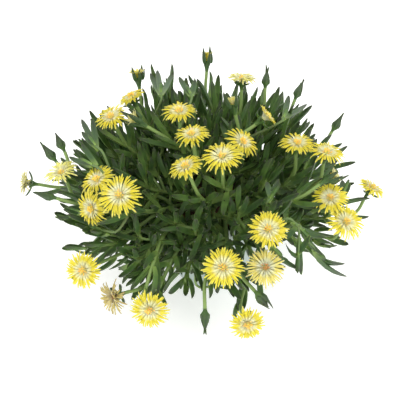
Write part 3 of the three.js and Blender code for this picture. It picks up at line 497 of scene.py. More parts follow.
@dataclass(frozen=True)
class Mound:
    """The low mound that the growth fills."""

    centre: tuple[float, float, float] = (-14.0, 0.0, 88.0)
    radius: float = 162.0
    rise: float = 118.0
    droop: float = 40.0
    search: float = 260.0

    def tall(self, height: float) -> float:
        """Give the mound's half height above or below its centre."""
        return self.rise if height > 0 else self.droop

    def scaled(self, points: np.ndarray, power: int) -> np.ndarray:
        """Divide offsets from the centre by the mound's three half sizes.

        Args:
            points: one point or many.
            power: to which power the half sizes are taken.

        Returns:
            The scaled offsets.
        """
        offset = points - np.array(self.centre)
        tall = np.where(offset[..., 2] > 0, self.rise, self.droop)
        sizes = np.stack([np.full_like(tall, self.radius)] * 2 + [tall], axis=-1)
        return offset / sizes**power

    def level(self, points: np.ndarray) -> np.ndarray:
        """Give 1 on the surface, less inside it and more outside."""
        return np.sqrt(np.sum(self.scaled(points, 1) ** 2, axis=-1))

    def normal(self, point: Vec) -> Vec:
        """Give the direction straight out of the mound at a point."""
        return unit(self.scaled(point, 2))

    def under(self, left: float, top: float, near: float = 0.0) -> Vec:
        """Find the place on the mound behind a place in the view.

        Args:
            left: place in the view, from its left edge.
            top: place in the view, from its top edge.
            near: how far to come back towards the eye, in mm.

        Returns:
            The place, or for a line of sight that misses the mound its point nearest to it.
        """
        line = VIEW.sight_line(left, top)
        reaches = np.arange(VIEW.distance - self.search, VIEW.distance + self.search, 1.0)
        points = VIEW.eye + line * reaches[:, None]
        levels = self.level(points)
        inside = np.flatnonzero(levels <= 1)
        pick = inside[0] if len(inside) else int(np.argmin(levels))
        return points[pick] - line * near


MOUND = Mound()


@dataclass(frozen=True)
class PotSize:
    """Sizes of the pot and of the potting mix in it."""

    height: float = 95.0
    rim_radius: float = 57.5
    band_height: float = 13.0
    band_step: float = 1.8
    foot_radius: float = 41.0
    foot_height: float = 3.0
    wall: float = 1.8
    floor: float = 2.6
    drains: int = 6
    drain_radius: float = 5.0
    drain_ring: float = 28.0
    soil_drop: float = 9.0
    crown: float = 3.0
    gap: float = 0.35

    @property
    def band_foot(self) -> float:
        """Give the height of the rim band's lower edge."""
        return self.height - self.band_height

    @property
    def under_band(self) -> float:
        """Give the outside radius just under the rim band."""
        return self.rim_radius - self.band_step

    def soil_top(self, distance: np.ndarray) -> np.ndarray:
        """Give the height of the potting mix at a distance from the pot's axis."""
        share = np.maximum(0, 1 - distance / (self.under_band - self.wall))
        return self.height - self.soil_drop + self.crown * np.minimum(1, share * 2)

    def outside(self, height: np.ndarray) -> np.ndarray:
        """Give the pot's outside radius.

        Args:
            height: at which heights.

        Returns:
            The radius at each.
        """
        share = np.clip(height / self.band_foot, 0, 1)
        tapered = self.foot_radius + (self.under_band - self.foot_radius) * share
        return np.where(height > self.band_foot, self.rim_radius, tapered)


POT = PotSize()


class Sort(IntEnum):
    """What a ball of the clearance test stands for."""

    PETALS = 0
    HEAD = 1
    TRUNK = 2
    STEM = 3
    LEAF = 4


class Balls:
    """All that has grown, noted as balls, so that what grows next can keep clear of it."""

    ROOM = 90000

    def __init__(self) -> None:
        """Start with no balls."""
        self.count = 0
        self.point = np.zeros((self.ROOM, 3))
        self.radius = np.zeros(self.ROOM)
        self.owner = np.zeros((self.ROOM, 4), dtype=int)

    def put(
        self,
        points: np.ndarray,
        radii: np.ndarray,
        sort: Sort,
        branch: int = -1,
        stem: int = -1,
        seat: int = -1,
    ) -> None:
        """Note balls as put down.

        Args:
            points: the centres of the balls.
            radii: their radii.
            sort: what they stand for.
            branch: the number of their branch.
            stem: the number of their stem.
            seat: the number of the growing point whose head they are.
        """
        end = self.count + len(points)
        self.point[self.count : end] = points
        self.radius[self.count : end] = radii
        self.owner[self.count : end] = (sort, branch, stem, seat)
        self.count = end

    def clear(self, points: np.ndarray, radii: np.ndarray, gap: float, lets_by: Allowance) -> bool:
        """Tell whether balls keep clear of all that is put down.

        Args:
            points: the centres of the balls.
            radii: their radii.
            gap: the gap to keep.
            lets_by: for hits (own index, other index), which of them are allowed.

        Returns:
            True if nothing is hit but what is allowed.
        """
        others = self.point[: self.count]
        margin = float(radii.max()) + gap + float(self.radius[: self.count].max(initial=0))
        low, high = points.min(axis=0) - margin, points.max(axis=0) + margin
        close = np.flatnonzero(np.all((others > low) & (others < high), axis=1))
        offset = points[:, None, :] - others[None, close, :]
        apart = radii[:, None] + self.radius[close][None, :] + gap
        own, hit = np.nonzero(np.sum(offset * offset, axis=2) <= apart * apart)
        return len(own) == 0 or bool(np.all(lets_by(own, close[hit])))


class Kind(Enum):
    """What stands at a growing point. Stems grow to the first five in this order."""

    BLOOM = "bloom"
    TUFT = "half_open"
    BUD = "bud"
    SHOOT = "shoot"
    FILLER = "filler"
    SIDE = "side"
    TRAIL = "trail"


@dataclass
class Tip:
    """A growing point: what stands there, where its stem ends and which way it points."""

    kind: Kind
    index: int
    place: Vec
    direction: Vec
    end: Vec
    seat: Vec | None = None
    number: int = -1
    spot: Spot | None = None


@dataclass
class Leaf:
    """One leaf: where it is rooted, its axis, the direction that its flat face looks, its size."""

    side: int
    reach: float
    root: Vec
    axis: Vec
    face: Vec
    length: float
    width: float
    keel: float
    curl: float = CURL

    def point(self, share: float) -> Vec:
        """Give a point of the flat face at a share of the length."""
        bent = self.face * (self.length * self.curl * share * share)
        return self.root + self.axis * (self.length * share) + bent


@dataclass
class Stem:
    """A stem from its base to its tip, with its leaves."""

    path: Path
    rings: list[Frame]
    radius: float
    tip: Tip
    number: int
    leafy: bool
    east: Vec
    key: int
    leaves: list[Leaf] = field(default_factory=list)

    @property
    def head(self) -> Frame:
        """Give the frame of the cup, bud or growing tip at the end."""
        seat = self.tip.end if self.tip.seat is None else self.tip.seat
        east = self.rings[-1].east if self.rings else self.east
        return frame_about(seat, self.tip.direction, east)


@dataclass
class Base:
    """A place on a trunk from which a stem can start."""

    start: Vec
    heading: Vec
    east: Vec
    collar: float = 0.0
    ring: Frame | None = None
    side: int = 0
    fit: float = 0.0


@dataclass
class Branch:
    """A branch: its root in the potting mix, its trunk and its stems."""

    index: int
    root: Vec
    tips: list[Tip] = field(default_factory=list)
    stems: list[Stem] = field(default_factory=list)
    trunk: Path | None = None
    rings: list[Frame] = field(default_factory=list)
    leader: Tip | None = None


@dataclass(frozen=True)
class Filling:
    """How the mound, or a smaller one inside it, is filled with shoots.

    tries is how many places are tried, spacing the least distance between two tips, lowest the
    lowest level as a share of the mound's rise or droop, lift how much a shoot turns up, and
    scale the size of the mound that is filled.
    """

    tries: int
    spacing: float
    lowest: float
    lift: float
    scale: float = 1.0


@dataclass
class Layout:
    """Lays out the whole plant by the rule and the sizes of the solids, in millimetres."""

    gap: float = 0.35
    main_radius: float = 2.1
    shoot_radius: float = 1.7
    stalk_radius: float = 1.3
    ring_step: float = 34.0
    ring_nearest: float = 7.0
    ring_turn: float = math.radians(30)
    sharpest: float = math.radians(50)
    lead: float = 7.0
    lead_share: float = 0.2
    straight: float = 22.0
    straight_share: float = 0.4
    bow: float = 0.1
    branch_count: int = 26
    spread: float = 43.0
    most_stems: int = 5
    shortest_trunk: float = 24.0
    trunk_share: float = 0.46
    longest_trunk: float = 0.8
    trunk_foot: float = 2.0
    trunk_rise: float = 0.38
    trunk_arrival: float = 0.3
    low_bend: float = 0.3
    trunk_knots: int = 9
    fork_first: float = 0.1
    fork_foot: float = 4.6
    fork_out: float = 0.8
    fork_ahead: float = 0.6
    fork_collar: float = 5.0
    fork_clear: float = 5.0
    fork_swell: float = 2.7
    fork_stems: int = 2
    fork_tried: int = 4
    fork_crowding: float = 0.12
    ball_step: float = 3.0
    petal_ball: float = 1.6
    hub_ball: float = 0.7
    sepal_balls: int = 6
    rim_margin: float = 2.0
    side_margin: float = 1.0
    table_margin: float = 2.0
    leaf_length: float = 38.0
    leaf_width: float = 5.4
    leaf_keel: float = 4.0
    leaf_varying: float = 0.12
    leaf_turn: float = math.radians(7)
    leaf_balls_count: int = 10
    leaf_depth: float = 0.38
    leaf_thinning: float = 0.6
    leaf_belly: float = 0.45
    least_lean: float = 0.2
    stem_ahead: float = 20.0
    clear_of_stem: float = 10.0
    clear_of_leaf: float = 4.0
    pair_foot: float = 4.0
    pair_spacing: float = 14.0
    bare_tip: float = 4.0
    bare_stalk: float = 26.0
    tip_below: float = 32.68
    tip_lift: float = 0.1
    cup_root: float = 8.0
    hub_below: float = 1.3
    petal_hub: float = 5.0
    tuft_hub: float = 2.9
    tuft_length: float = 9.5
    tuft_cup: float = math.radians(80)
    balls: Balls = field(default_factory=Balls)

    FILLINGS = (Filling(500, 33.5, -0.2, 0.35), Filling(60, 26, 0.5, 0.9, 0.72))
    PAIRS = {Kind.BLOOM: 2, Kind.TUFT: 2, Kind.BUD: 1, Kind.SHOOT: 3, Kind.FILLER: 3}
    LEANS = tuple(math.radians(lean) for lean in (16, 27, 36, 43))
    BENDS = (
        (0, 0), (7, 0), (-7, 0), (0, 8), (12, 4), (-12, 4), (0, -8), (18, 8), (-18, 8), (0, 16),
        (26, 0), (-26, 0), (0, 26), (26, 18), (-26, 18), (38, 8), (-38, 8), (0, -16), (18, -8),
        (-18, -8),
    )  # fmt: skip
    LEAF_TRIES = (
        (0, 0), (14, 0), (-14, 0), (0, -6), (0, 8), (26, -3), (-26, -3), (14, 10), (-14, 10),
    )  # fmt: skip
    PETAL_SHARES = (0, 0.2, 0.4, 0.6, 0.8, 1)
    PETAL_COUNTS = {Kind.BLOOM: 12, Kind.TUFT: 7}
    HEAD_BALLS = {
        Kind.BLOOM: ((0, 5), (-4, 3)),
        Kind.TUFT: ((0, 5), (4, 5.6), (8, 6.6), (11, 7)),
        Kind.BUD: ((-4, 3.4), (0, 5.2), (4, 4.6), (8, 3), (12, 1.8), (15, 0.6)),
    }
    SEPAL_BALL = (7.5, -1.0, 1.8)
    LEAF_SWELL = (0.3, 0.5)
    LEAF_TAPER = (0.98, -0.86)

    def grow(self) -> list[Branch]:
        """Lay out trunks, then stems with the flower stalks first, then leaves.

        Returns:
            The branches, in the order of their nodes.
        """
        tips = self.growing_points()
        for filling in self.FILLINGS:
            tips = tips + self.fillers(tips, filling)
        for number, tip in enumerate(tips):
            tip.number = number
        branches = self.share_out(tips)
        self.put_heads(branches)
        for branch in branches:
            self.grow_trunk(branch)
        for branch in branches:
            self.grow_leader(branch)
        for kind in self.PAIRS:
            for branch in branches:
                for tip in branch.tips:
                    if tip.kind is kind and tip is not branch.leader:
                        self.grow_stem(branch, tip, self.free_sides(branch, tip))
        for branch in branches:
            for stem in branch.stems:
                self.grow_leaves(branch, stem)
        return branches

    def growing_points(self) -> list[Tip]:
        """Give the growing points that are read from the photograph.

        Returns:
            Blooms, half-open blooms, buds and shoots, in this order.
        """
        tips: list[Tip] = []
        depth = self.hub_below + self.gap
        seen = ((Kind.BLOOM, BLOOMS, depth), (Kind.TUFT, HALF_OPEN, depth), (Kind.BUD, BUDS, 0.0))
        for kind, spots, sunk in seen:
            for index, spot in enumerate(spots):
                place = MOUND.under(spot.left, spot.top, spot.near)
                direction = VIEW.facing(spot)
                seat = place + direction * -sunk
                end = seat + direction * -self.cup_root
                tips.append(Tip(kind, index, place, direction, end, seat, spot=spot))
        for index, (left, top) in enumerate(SHOOTS):
            place = MOUND.under(left, top)
            direction = unit(MOUND.normal(place) + UP * self.tip_lift)
            tips.append(Tip(Kind.SHOOT, index, place, direction, place + direction * -self.tip_below))
        return tips

    def fillers(self, taken: list[Tip], filling: Filling) -> list[Tip]:
        """Fill the rest of a mound with shoots, evenly round it and from top to hem.

        Args:
            taken: growing points to keep away from.
            filling: how it is filled.

        Returns:
            The new growing points.
        """
        centre, scale = MOUND.centre, filling.scale
        found: list[Tip] = []
        for step in range(filling.tries):
            height = 1 - ((step + 0.5) / filling.tries) * (1 - filling.lowest)
            level = math.sqrt(1 - height * height)
            turn = step * GOLDEN_ANGLE
            place = np.array([
                scale * (centre[0] + MOUND.radius * level * math.cos(turn)),
                scale * (centre[1] + MOUND.radius * level * math.sin(turn)),
                centre[2] + scale * MOUND.tall(height) * height,
            ])  # fmt: skip
            left, top = VIEW.place_of(place)
            in_gap = FRONT_GAP[0] < left < FRONT_GAP[1] and top > FRONT_GAP[2]
            if in_gap or any(length_of(t.place - place) <= filling.spacing for t in taken + found):
                continue
            direction = unit(MOUND.normal(place) + UP * filling.lift)
            end = place + direction * -self.tip_below
            found.append(Tip(Kind.FILLER, len(taken) + step, place, direction, end))
        return found

    def share_out(self, tips: list[Tip]) -> list[Branch]:
        """Give each growing point to the branch with room whose root lies most nearly under it.

        Args:
            tips: the growing points.

        Returns:
            The branches that have any.
        """
        branches = []
        for index in range(self.branch_count):
            distance = self.spread * math.sqrt((index + 0.5) / self.branch_count)
            turn = index * GOLDEN_ANGLE
            top = float(POT.soil_top(distance))
            root = np.array([distance * math.cos(turn), distance * math.sin(turn), top])
            branches.append(Branch(index, root))
        shrink = self.spread / MOUND.radius
        for tip in tips:
            under = (tip.end - np.array(MOUND.centre)) * shrink
            roomy = [branch for branch in branches if len(branch.tips) < self.most_stems]
            if roomy:
                min(roomy, key=lambda b: math.hypot(*(b.root - under)[:2])).tips.append(tip)
        return [branch for branch in branches if branch.tips]

    def put_heads(self, branches: list[Branch]) -> None:
        """Note the petals and heads of the growing points, before any stem grows.

        Args:
            branches: the branches with their growing points.
        """
        for branch in branches:
            for tip in branch.tips:
                if tip.kind in self.PETAL_COUNTS:
                    self.balls.put(*self.petal_balls(tip), Sort.PETALS)
                if tip.kind in self.HEAD_BALLS:
                    self.balls.put(*self.head_balls(tip), Sort.HEAD, branch.index, seat=tip.number)

    def petal_balls(self, tip: Tip) -> tuple[np.ndarray, np.ndarray]:
        """Give the balls that stand for a ring of petals.

        Args:
            tip: the bloom's growing point.

        Returns:
            Their centres and their radii.
        """
        frame = frame_about(tip.place, tip.direction, RIGHT)
        count = self.PETAL_COUNTS[tip.kind]
        hub, length, cup = self.tuft_hub, self.tuft_length, self.tuft_cup
        if tip.kind is Kind.BLOOM:
            hub, cup = self.petal_hub, math.radians(tip.spot.cup)
            length = tip.spot.diameter / 2 - hub
        points, radii = [tip.place], [hub * self.hub_ball]
        for petal in range(count):
            out = frame.side(QUARTERS * petal / count)
            for share in self.PETAL_SHARES:
                reach = hub + length * share * math.cos(cup)
                rise = length * share * math.sin(cup)
                points.append(tip.place + out * reach + tip.direction * rise)
                radii.append(self.petal_ball)
        return np.array(points), np.array(radii)

    def head_balls(self, tip: Tip) -> tuple[np.ndarray, np.ndarray]:
        """Give the balls that stand for the cup or bud at the end of a stem.

        Args:
            tip: its growing point.

        Returns:
            Their centres and their radii.
        """
        sizes = self.HEAD_BALLS[tip.kind]
        points = [tip.seat + tip.direction * height for height, _ in sizes]
        radii = [radius for _, radius in sizes]
        if tip.kind is Kind.BLOOM:
            reach, height, radius = self.SEPAL_BALL
            frame = frame_about(tip.seat, tip.direction, RIGHT)
            for sepal in range(self.sepal_balls):
                out = frame.side(QUARTERS * sepal / self.sepal_balls)
                points.append(tip.seat + out * reach + tip.direction * height)
                radii.append(radius)
        return np.array(points), np.array(radii)

    def clear_of_pot(self, points: np.ndarray, radii: np.ndarray) -> bool:
        """Tell whether balls stay clear of the pot, the potting mix and the table.

        Args:
            points: the centres of the balls.
            radii: their radii.

        Returns:
            True if they do.
        """
        reach, height = np.hypot(points[:, 0], points[:, 1]), points[:, 2]
        room = radii + self.gap
        inside = reach < POT.rim_radius - POT.wall - room - self.rim_margin
        over_soil = height > POT.soil_top(reach) + room
        beside = reach > POT.outside(height) + room + self.side_margin
        clear = (height > POT.height + room) | np.where(inside, over_soil, beside)
        return bool(np.all(clear & (height >= room + self.table_margin)))

    def branch_curve(self, branch: Branch, bend: Place) -> tuple[Vec, ...]:
        """Give the curve from a branch's root to the middle of its growing points.

        Args:
            branch: the branch.
            bend: how far the curve bends aside and up.

        Returns:
            The four control points.
        """
        middle = sum(tip.end for tip in branch.tips) * (1 / len(branch.tips))
        direction = unit(sum(tip.direction for tip in branch.tips))
        start = branch.root + UP * self.trunk_foot
        chord = middle - start
        reach = length_of(chord)
        chord = unit(chord)
        aside = np.cross(square_to(chord, UP), chord)
        first = start + UP * (reach * self.trunk_rise) + aside * (bend[0] * self.low_bend)
        second = middle + direction * (-reach * self.trunk_arrival) + aside * bend[0]
        second[2] += bend[1]
        return start, first, second, middle

    def grow_trunk(self, branch: Branch) -> None:
        """Lay out a trunk, which ends part of the way up its curve, clear of the others.

        Args:
            branch: the branch, which gets its trunk and its rings.
        """
        for bend in self.BENDS:
            curve = self.branch_curve(branch, bend)
            samples = bezier(curve, np.arange(Path.DIVISIONS + 1) / Path.DIVISIONS)
            length = float(np.sum(np.sqrt(np.sum(np.diff(samples, axis=0) ** 2, axis=1))))
            share = min(self.longest_trunk, max(self.trunk_share, self.shortest_trunk / length))
            knots = share * np.arange(self.trunk_knots) / (self.trunk_knots - 1)
            branch.trunk = Path(bezier(curve, knots))
            branch.rings = self.fork_rings(branch)
            points = self.line_points([ring.centre for ring in branch.rings])
            radii = np.full(len(points), self.main_radius)
            if self.balls.clear(points, radii, self.gap, lambda own, hit: np.zeros(len(own), bool)):
                self.balls.put(points, radii, Sort.TRUNK, branch.index)
                return
        raise ValueError(f"no room for branch {branch.index}")

    def fork_rings(self, branch: Branch) -> list[Frame]:
        """Lay out a trunk's rings, with a fork below its top for every other two stems.

        Args:
            branch: the branch with its trunk.

        Returns:
            The rings from the root up.
        """
        length = branch.trunk.length
        count = math.ceil((len(branch.tips) - 1) / self.fork_stems)
        stops: list[Stop] = [(0.0, None, False)]
        for fork in range(1, count + 1):
            share = self.fork_first + ((1 - self.fork_first) * fork) / (count + 1)
            reach = length * share - self.fork_foot / 2
            stops += [(reach, None, True), (reach + self.fork_foot, None, False)]
        if count == 0:
            stops += self.bend_stops(branch.trunk, 0.0, length)
        return self.frames_along(branch.trunk, stops + [(length, None, False)], RIGHT)

    def frames_along(self, path: Path, stops: Iterable[Stop], east: Vec) -> list[Frame]:
        """Give frames along a path, each turned as little as can be from the last.

        Args:
            path: the path.
            stops: for each frame its distance, the order of its pair of leaves and if it forks.
            east: the east of the first.

        Returns:
            The frames.
        """
        frames = []
        for reach, order, forks in stops:
            found = path.frame(min(1.0, reach / path.length), east)
            east = found.east
            frames.append(replace(found, reach=reach, order=order, forks=forks, sides={}))
        return frames

    def bend_stops(self, path: Path, start: float, stop: float) -> list[Stop]:
        """Give the stops along a path at which it has turned or gone on far enough.

        Args:
            path: the path.
            start: the distance at which the stretch starts.
            stop: the distance at which it ends.

        Returns:
            The stops.
        """
        reaches = []
        reach = start + self.ring_nearest
        while reach < stop - self.ring_nearest:
            reaches.append(reach)
            reach += 1
        found: list[Stop] = []
        axis, last = path.tangents(start / path.length), start
        for reach, ahead in zip(reaches, path.tangents(np.array(reaches) / path.length)):
            turned = angle_between(ahead, axis) > self.ring_turn or reach - last > self.ring_step
            if turned and reach - last > self.ring_nearest:
                found.append((reach, None, False))
                axis, last = ahead, reach
        return found

    def stem_rings(self, path: Path, east: Vec, collar: float, pairs: list[float]) -> list[Frame]:
        """Give the rings of a stem above its base, with a ring below each pair of leaves.

        Args:
            path: the stem's curve.
            east: the east of its base.
            collar: how far its base reaches.
            pairs: how far back from its end each pair lies.

        Returns:
            The rings from the base up.
        """
        length = path.length
        stops: list[Stop] = [(collar, None, False)] if collar > 0 else []
        start = collar
        for order in range(len(pairs) - 1, -1, -1):
            reach = length - pairs[order] - self.pair_foot / 2
            stops += self.bend_stops(path, start, reach)
            stops += [(reach, order, False), (reach + self.pair_foot, None, False)]
            start = reach + self.pair_foot
        stops += self.bend_stops(path, start, length)
        if length - start > self.ring_nearest / 2:
            stops.append((length, None, False))
        return self.frames_along(path, stops, east)

    def line_points(self, corners: Sequence[Vec]) -> np.ndarray:
        """Give points along a line, about one ball's step apart.

        Args:
            corners: the line's corners.

        Returns:
            One row for each point.
        """
        points = []
        for before, after in zip(corners, corners[1:]):
            span = after - before
            count = max(1, math.ceil(length_of(span) / self.ball_step))
            points += [before + span * (step / count) for step in range(count)]
        return np.array(points)

    def stem_path(self, base: Base, tip: Tip, bend: Place) -> Path:
        """Give a stem's curve: along its heading, through a bend, straight at its leafy end.

        Args:
            base: where it starts.
            tip: where it ends.
            bend: how far it bends aside and up.

        Returns:
            The curve.
        """
        chord = tip.end - base.start
        reach = length_of(chord)
        chord = unit(chord)
        aside = np.cross(square_to(chord, UP), chord)
        lead = base.start + base.heading * min(self.lead, reach * self.lead_share)
        straight = tip.end + tip.direction * -min(self.straight, reach * self.straight_share)
        middle = (lead + straight) * 0.5
        middle = middle + base.heading * (reach * self.bow) + tip.direction * (-reach * self.bow)
        middle = middle + aside * bend[0] + UP * bend[1]
        return Path([base.start, lead, middle, straight, tip.end])

    def free_sides(self, branch: Branch, tip: Tip) -> list[Base]:
        """Give the free sides of a trunk's forks, those that face a growing point first.

        Args:
            branch: the branch.
            tip: the growing point.

        Returns:
            The few best places for a stem to start.
        """
        found = []
        for ring in (ring for ring in branch.rings if ring.forks):
            middle = ring.centre + ring.axis * (self.fork_foot / 2)
            wanted = unit(tip.end - middle)
            busy = len(ring.sides) * self.fork_crowding
            for side in sorted(set(range(QUARTERS)) - set(ring.sides)):
                out = ring.side(side)
                start = middle + out * (self.main_radius * math.sqrt(0.5))
                heading = unit(out * self.fork_out + ring.axis * self.fork_ahead)
                east, fit = np.cross(out, ring.axis), float(out @ wanted) - busy
                found.append(Base(start, heading, east, self.fork_collar, ring, side, fit))
        return sorted(found, key=lambda base: -base.fit)[: self.fork_tried]

    def grow_leader(self, branch: Branch) -> None:
        """Grow the stem that goes on from the trunk's top, to the point that suits it best.

        Args:
            branch: the branch, which gets its leader.
        """
        top = branch.rings[-1]
        base = Base(top.centre, top.axis, top.east)
        candidates = sorted(branch.tips, key=lambda tip: -float(unit(tip.end - base.start) @ top.axis))
        branch.leader = next(tip for tip in candidates if self.grow_stem(branch, tip, [base]))

    def grow_stem(self, branch: Branch, tip: Tip, bases: list[Base]) -> bool:
        """Grow a stem to a point by the first bend and base that keep clear of the rest.

        Args:
            branch: the branch that it belongs to.
            tip: the growing point that it ends on.
            bases: the places where it may start.

        Returns:
            Whether a way was found.
        """
        number = len(branch.stems)
        leafy = tip.kind in (Kind.SHOOT, Kind.FILLER)
        radius = self.shoot_radius if leafy else self.stalk_radius
        for bend, base in ((bend, base) for bend in self.BENDS for base in bases):
            path = self.stem_path(base, tip, bend)
            pairs = self.leaf_pairs(path.length, leafy, self.PAIRS[tip.kind])
            rings = self.stem_rings(path, base.east, base.collar, pairs)
            if not self.smooth(rings, base.heading):
                continue
            points = self.line_points([base.start, *(ring.centre for ring in rings), tip.end])
            radii = np.where(distances(points, base.start) < base.collar, self.fork_swell, radius)
            lets_by = self.own_neighbour(branch, tip, base.start, points)
            if self.clear_of_pot(points, radii) and self.balls.clear(points, radii, self.gap, lets_by):
                self.balls.put(points, radii, Sort.STEM, branch.index, number)
                key = 100 * branch.index + number
                stem = Stem(path, rings, radius, tip, number, leafy, base.east, key)
                branch.stems.append(stem)
                if base.ring is not None:
                    base.ring.sides[base.side] = stem
                return True
        return False

    def own_neighbour(self, branch: Branch, tip: Tip, start: Vec, points: np.ndarray) -> Allowance:
        """Say which balls of its own branch a stem may touch: near its start and its own head.

        Args:
            branch: its branch.
            tip: the growing point that it ends on.
            start: where it starts.
            points: the centres of its balls.

        Returns:
            The test for hits.
        """
        at_start = distances(points, start) < self.fork_clear
        at_end = distances(points, tip.end) < self.fork_clear

        def lets_by(own: np.ndarray, hit: np.ndarray) -> np.ndarray:
            """Tell which hits are allowed."""
            sort, owner, _, seat = self.balls.owner[hit].T
            own_head = (sort == Sort.HEAD) & (seat == tip.number)
            return (owner == branch.index) & (at_start[own] | (own_head & at_end[own]))

        return lets_by

    def smooth(self, rings: list[Frame], heading: Vec) -> bool:
        """Tell whether a stem's rings follow one another without a sharp turn."""
        axes = [heading, *(ring.axis for ring in rings)]
        return all(angle_between(a, b) < self.sharpest for a, b in zip(axes, axes[1:]))

    def leaf_pairs(self, length: float, leafy: bool, count: int) -> list[float]:
        """Give how far back from a stem's end each of its pairs of leaves lies.

        Args:
            length: the stem's length.
            leafy: whether it ends in leaves.
            count: the most pairs.

        Returns:
            The distances of the pairs that it has room for.
        """
        bare = self.bare_tip if leafy else self.bare_stalk
        backs = [bare + order * self.pair_spacing for order in range(count)]
        return [back for back in backs if back < length - self.fork_collar - self.pair_foot]

    def leaf_at(self, stem: Stem, ring: Frame, side: int, turn: float, lean: float, key: int) -> Leaf:
        """Give the leaf on one side of a stem.

        Args:
            stem: the stem.
            ring: the frame of its pair.
            side: the side.
            turn: how far it is turned round the stem.
            lean: how far it leans out from it.
            key: its own number, for draws.

        Returns:
            The leaf.
        """
        swung = ring.side(side + QUARTERS * turn / FULL_TURN)
        axis = ring.axis * math.cos(lean) + swung * math.sin(lean)
        middle = ring.centre + ring.axis * (self.pair_foot / 2)
        root = middle + ring.side(side) * (stem.radius * math.sqrt(0.5))
        axis = unit(axis)
        length = self.leaf_length * (1 + self.leaf_varying * sway(key, Chance.LEAF_LENGTH))
        face = square_to(axis, -swung)
        return Leaf(side, ring.reach, root, axis, face, length, self.leaf_width, self.leaf_keel)

    def grow_leaves(self, branch: Branch, stem: Stem) -> None:
        """Set the pairs of leaves along a stem, each pair square to the one before.

        Args:
            branch: the stem's branch.
            stem: the stem, to which leaves are added.
        """
        for ring in reversed([ring for ring in stem.rings if ring.order is not None]):
            level = ring.order if stem.leafy else ring.order + 1
            for side in (ring.order % 2, 2 + ring.order % 2):
                key = stem.key * 10 + ring.order * 4 + side
                turn = self.leaf_turn * sway(key, Chance.LEAF_TURN)
                lean = self.LEANS[level] * (1 + self.leaf_varying * sway(key, Chance.LEAF_LEAN))
                for more in self.LEAF_TRIES:
                    turned, leant = turn + math.radians(more[0]), lean + math.radians(more[1])
                    leaf = self.leaf_at(stem, ring, side, turned, leant, key)
                    if self.leaf_fits(branch, stem, leaf, self.gap):
                        stem.leaves.append(leaf)
                        break

    def leaf_balls(self, leaf: Leaf) -> tuple[np.ndarray, np.ndarray]:
        """Give the balls that stand for a leaf: small at its root and tip, largest half way.

        Args:
            leaf: the leaf.

        Returns:
            Their centres and their radii.
        """
        points, radii = [], []
        for step in range(1, self.leaf_balls_count + 1):
            share = step / self.leaf_balls_count
            depth = leaf.keel * self.leaf_depth * (1 - share * self.leaf_thinning)
            points.append(leaf.point(share) + leaf.face * -depth)
            part = (step - 1) / (self.leaf_balls_count - 1)
            start, slope = self.LEAF_SWELL if part < self.leaf_belly else self.LEAF_TAPER
            radii.append(leaf.width * (start + slope * part))
        return np.array(points), np.array(radii)

    def leaf_fits(self, branch: Branch, stem: Stem, leaf: Leaf, gap: float) -> bool:
        """Tell whether a leaf leans away from its stem and keeps clear, and put it down if so.

        Args:
            branch: the stem's branch.
            stem: the leaf's stem.
            leaf: the leaf.
            gap: the gap to keep.

        Returns:
            Whether it fits.
        """
        above = [ring for ring in stem.rings if leaf.reach < ring.reach < leaf.reach + self.stem_ahead]
        if not all(float(leaf.axis @ ring.side(leaf.side)) > self.least_lean for ring in above):
            return False
        points, radii = self.leaf_balls(leaf)
        from_root = distances(points, leaf.root)

        def lets_by(own: np.ndarray, hit: np.ndarray) -> np.ndarray:
            """Tell which hits on the leaf's own stem lie near enough to its root."""
            sort, owner, number, _ = self.balls.owner[hit].T
            near = np.where(sort == Sort.STEM, self.clear_of_stem, self.clear_of_leaf)
            return (owner == branch.index) & (number == stem.number) & (from_root[own] < near)

        fits = self.clear_of_pot(points, radii) and self.balls.clear(points, radii, gap, lets_by)
        if fits:
            self.balls.put(points, radii, Sort.LEAF, branch.index, stem.number)
        return fits


def inside_outline(left: float, top: float) -> bool:
    """Tell whether a place in the view lies inside the outline of the dense foliage.

    Args:
        left: the place, from the view's left edge.
        top: the place, from its top edge.

    Returns:
        True if it does.
    """
    corners = np.array(HEM)
    ahead = np.roll(corners, -1, axis=0)
    beside = (corners[:, 1] > top) != (ahead[:, 1] > top)
    rise = np.where(beside, ahead[:, 1] - corners[:, 1], 1.0)
    crossing = corners[:, 0] + (top - corners[:, 1]) / rise * (ahead[:, 0] - corners[:, 0])
    return int(np.sum(beside & (left < crossing))) % 2 == 1


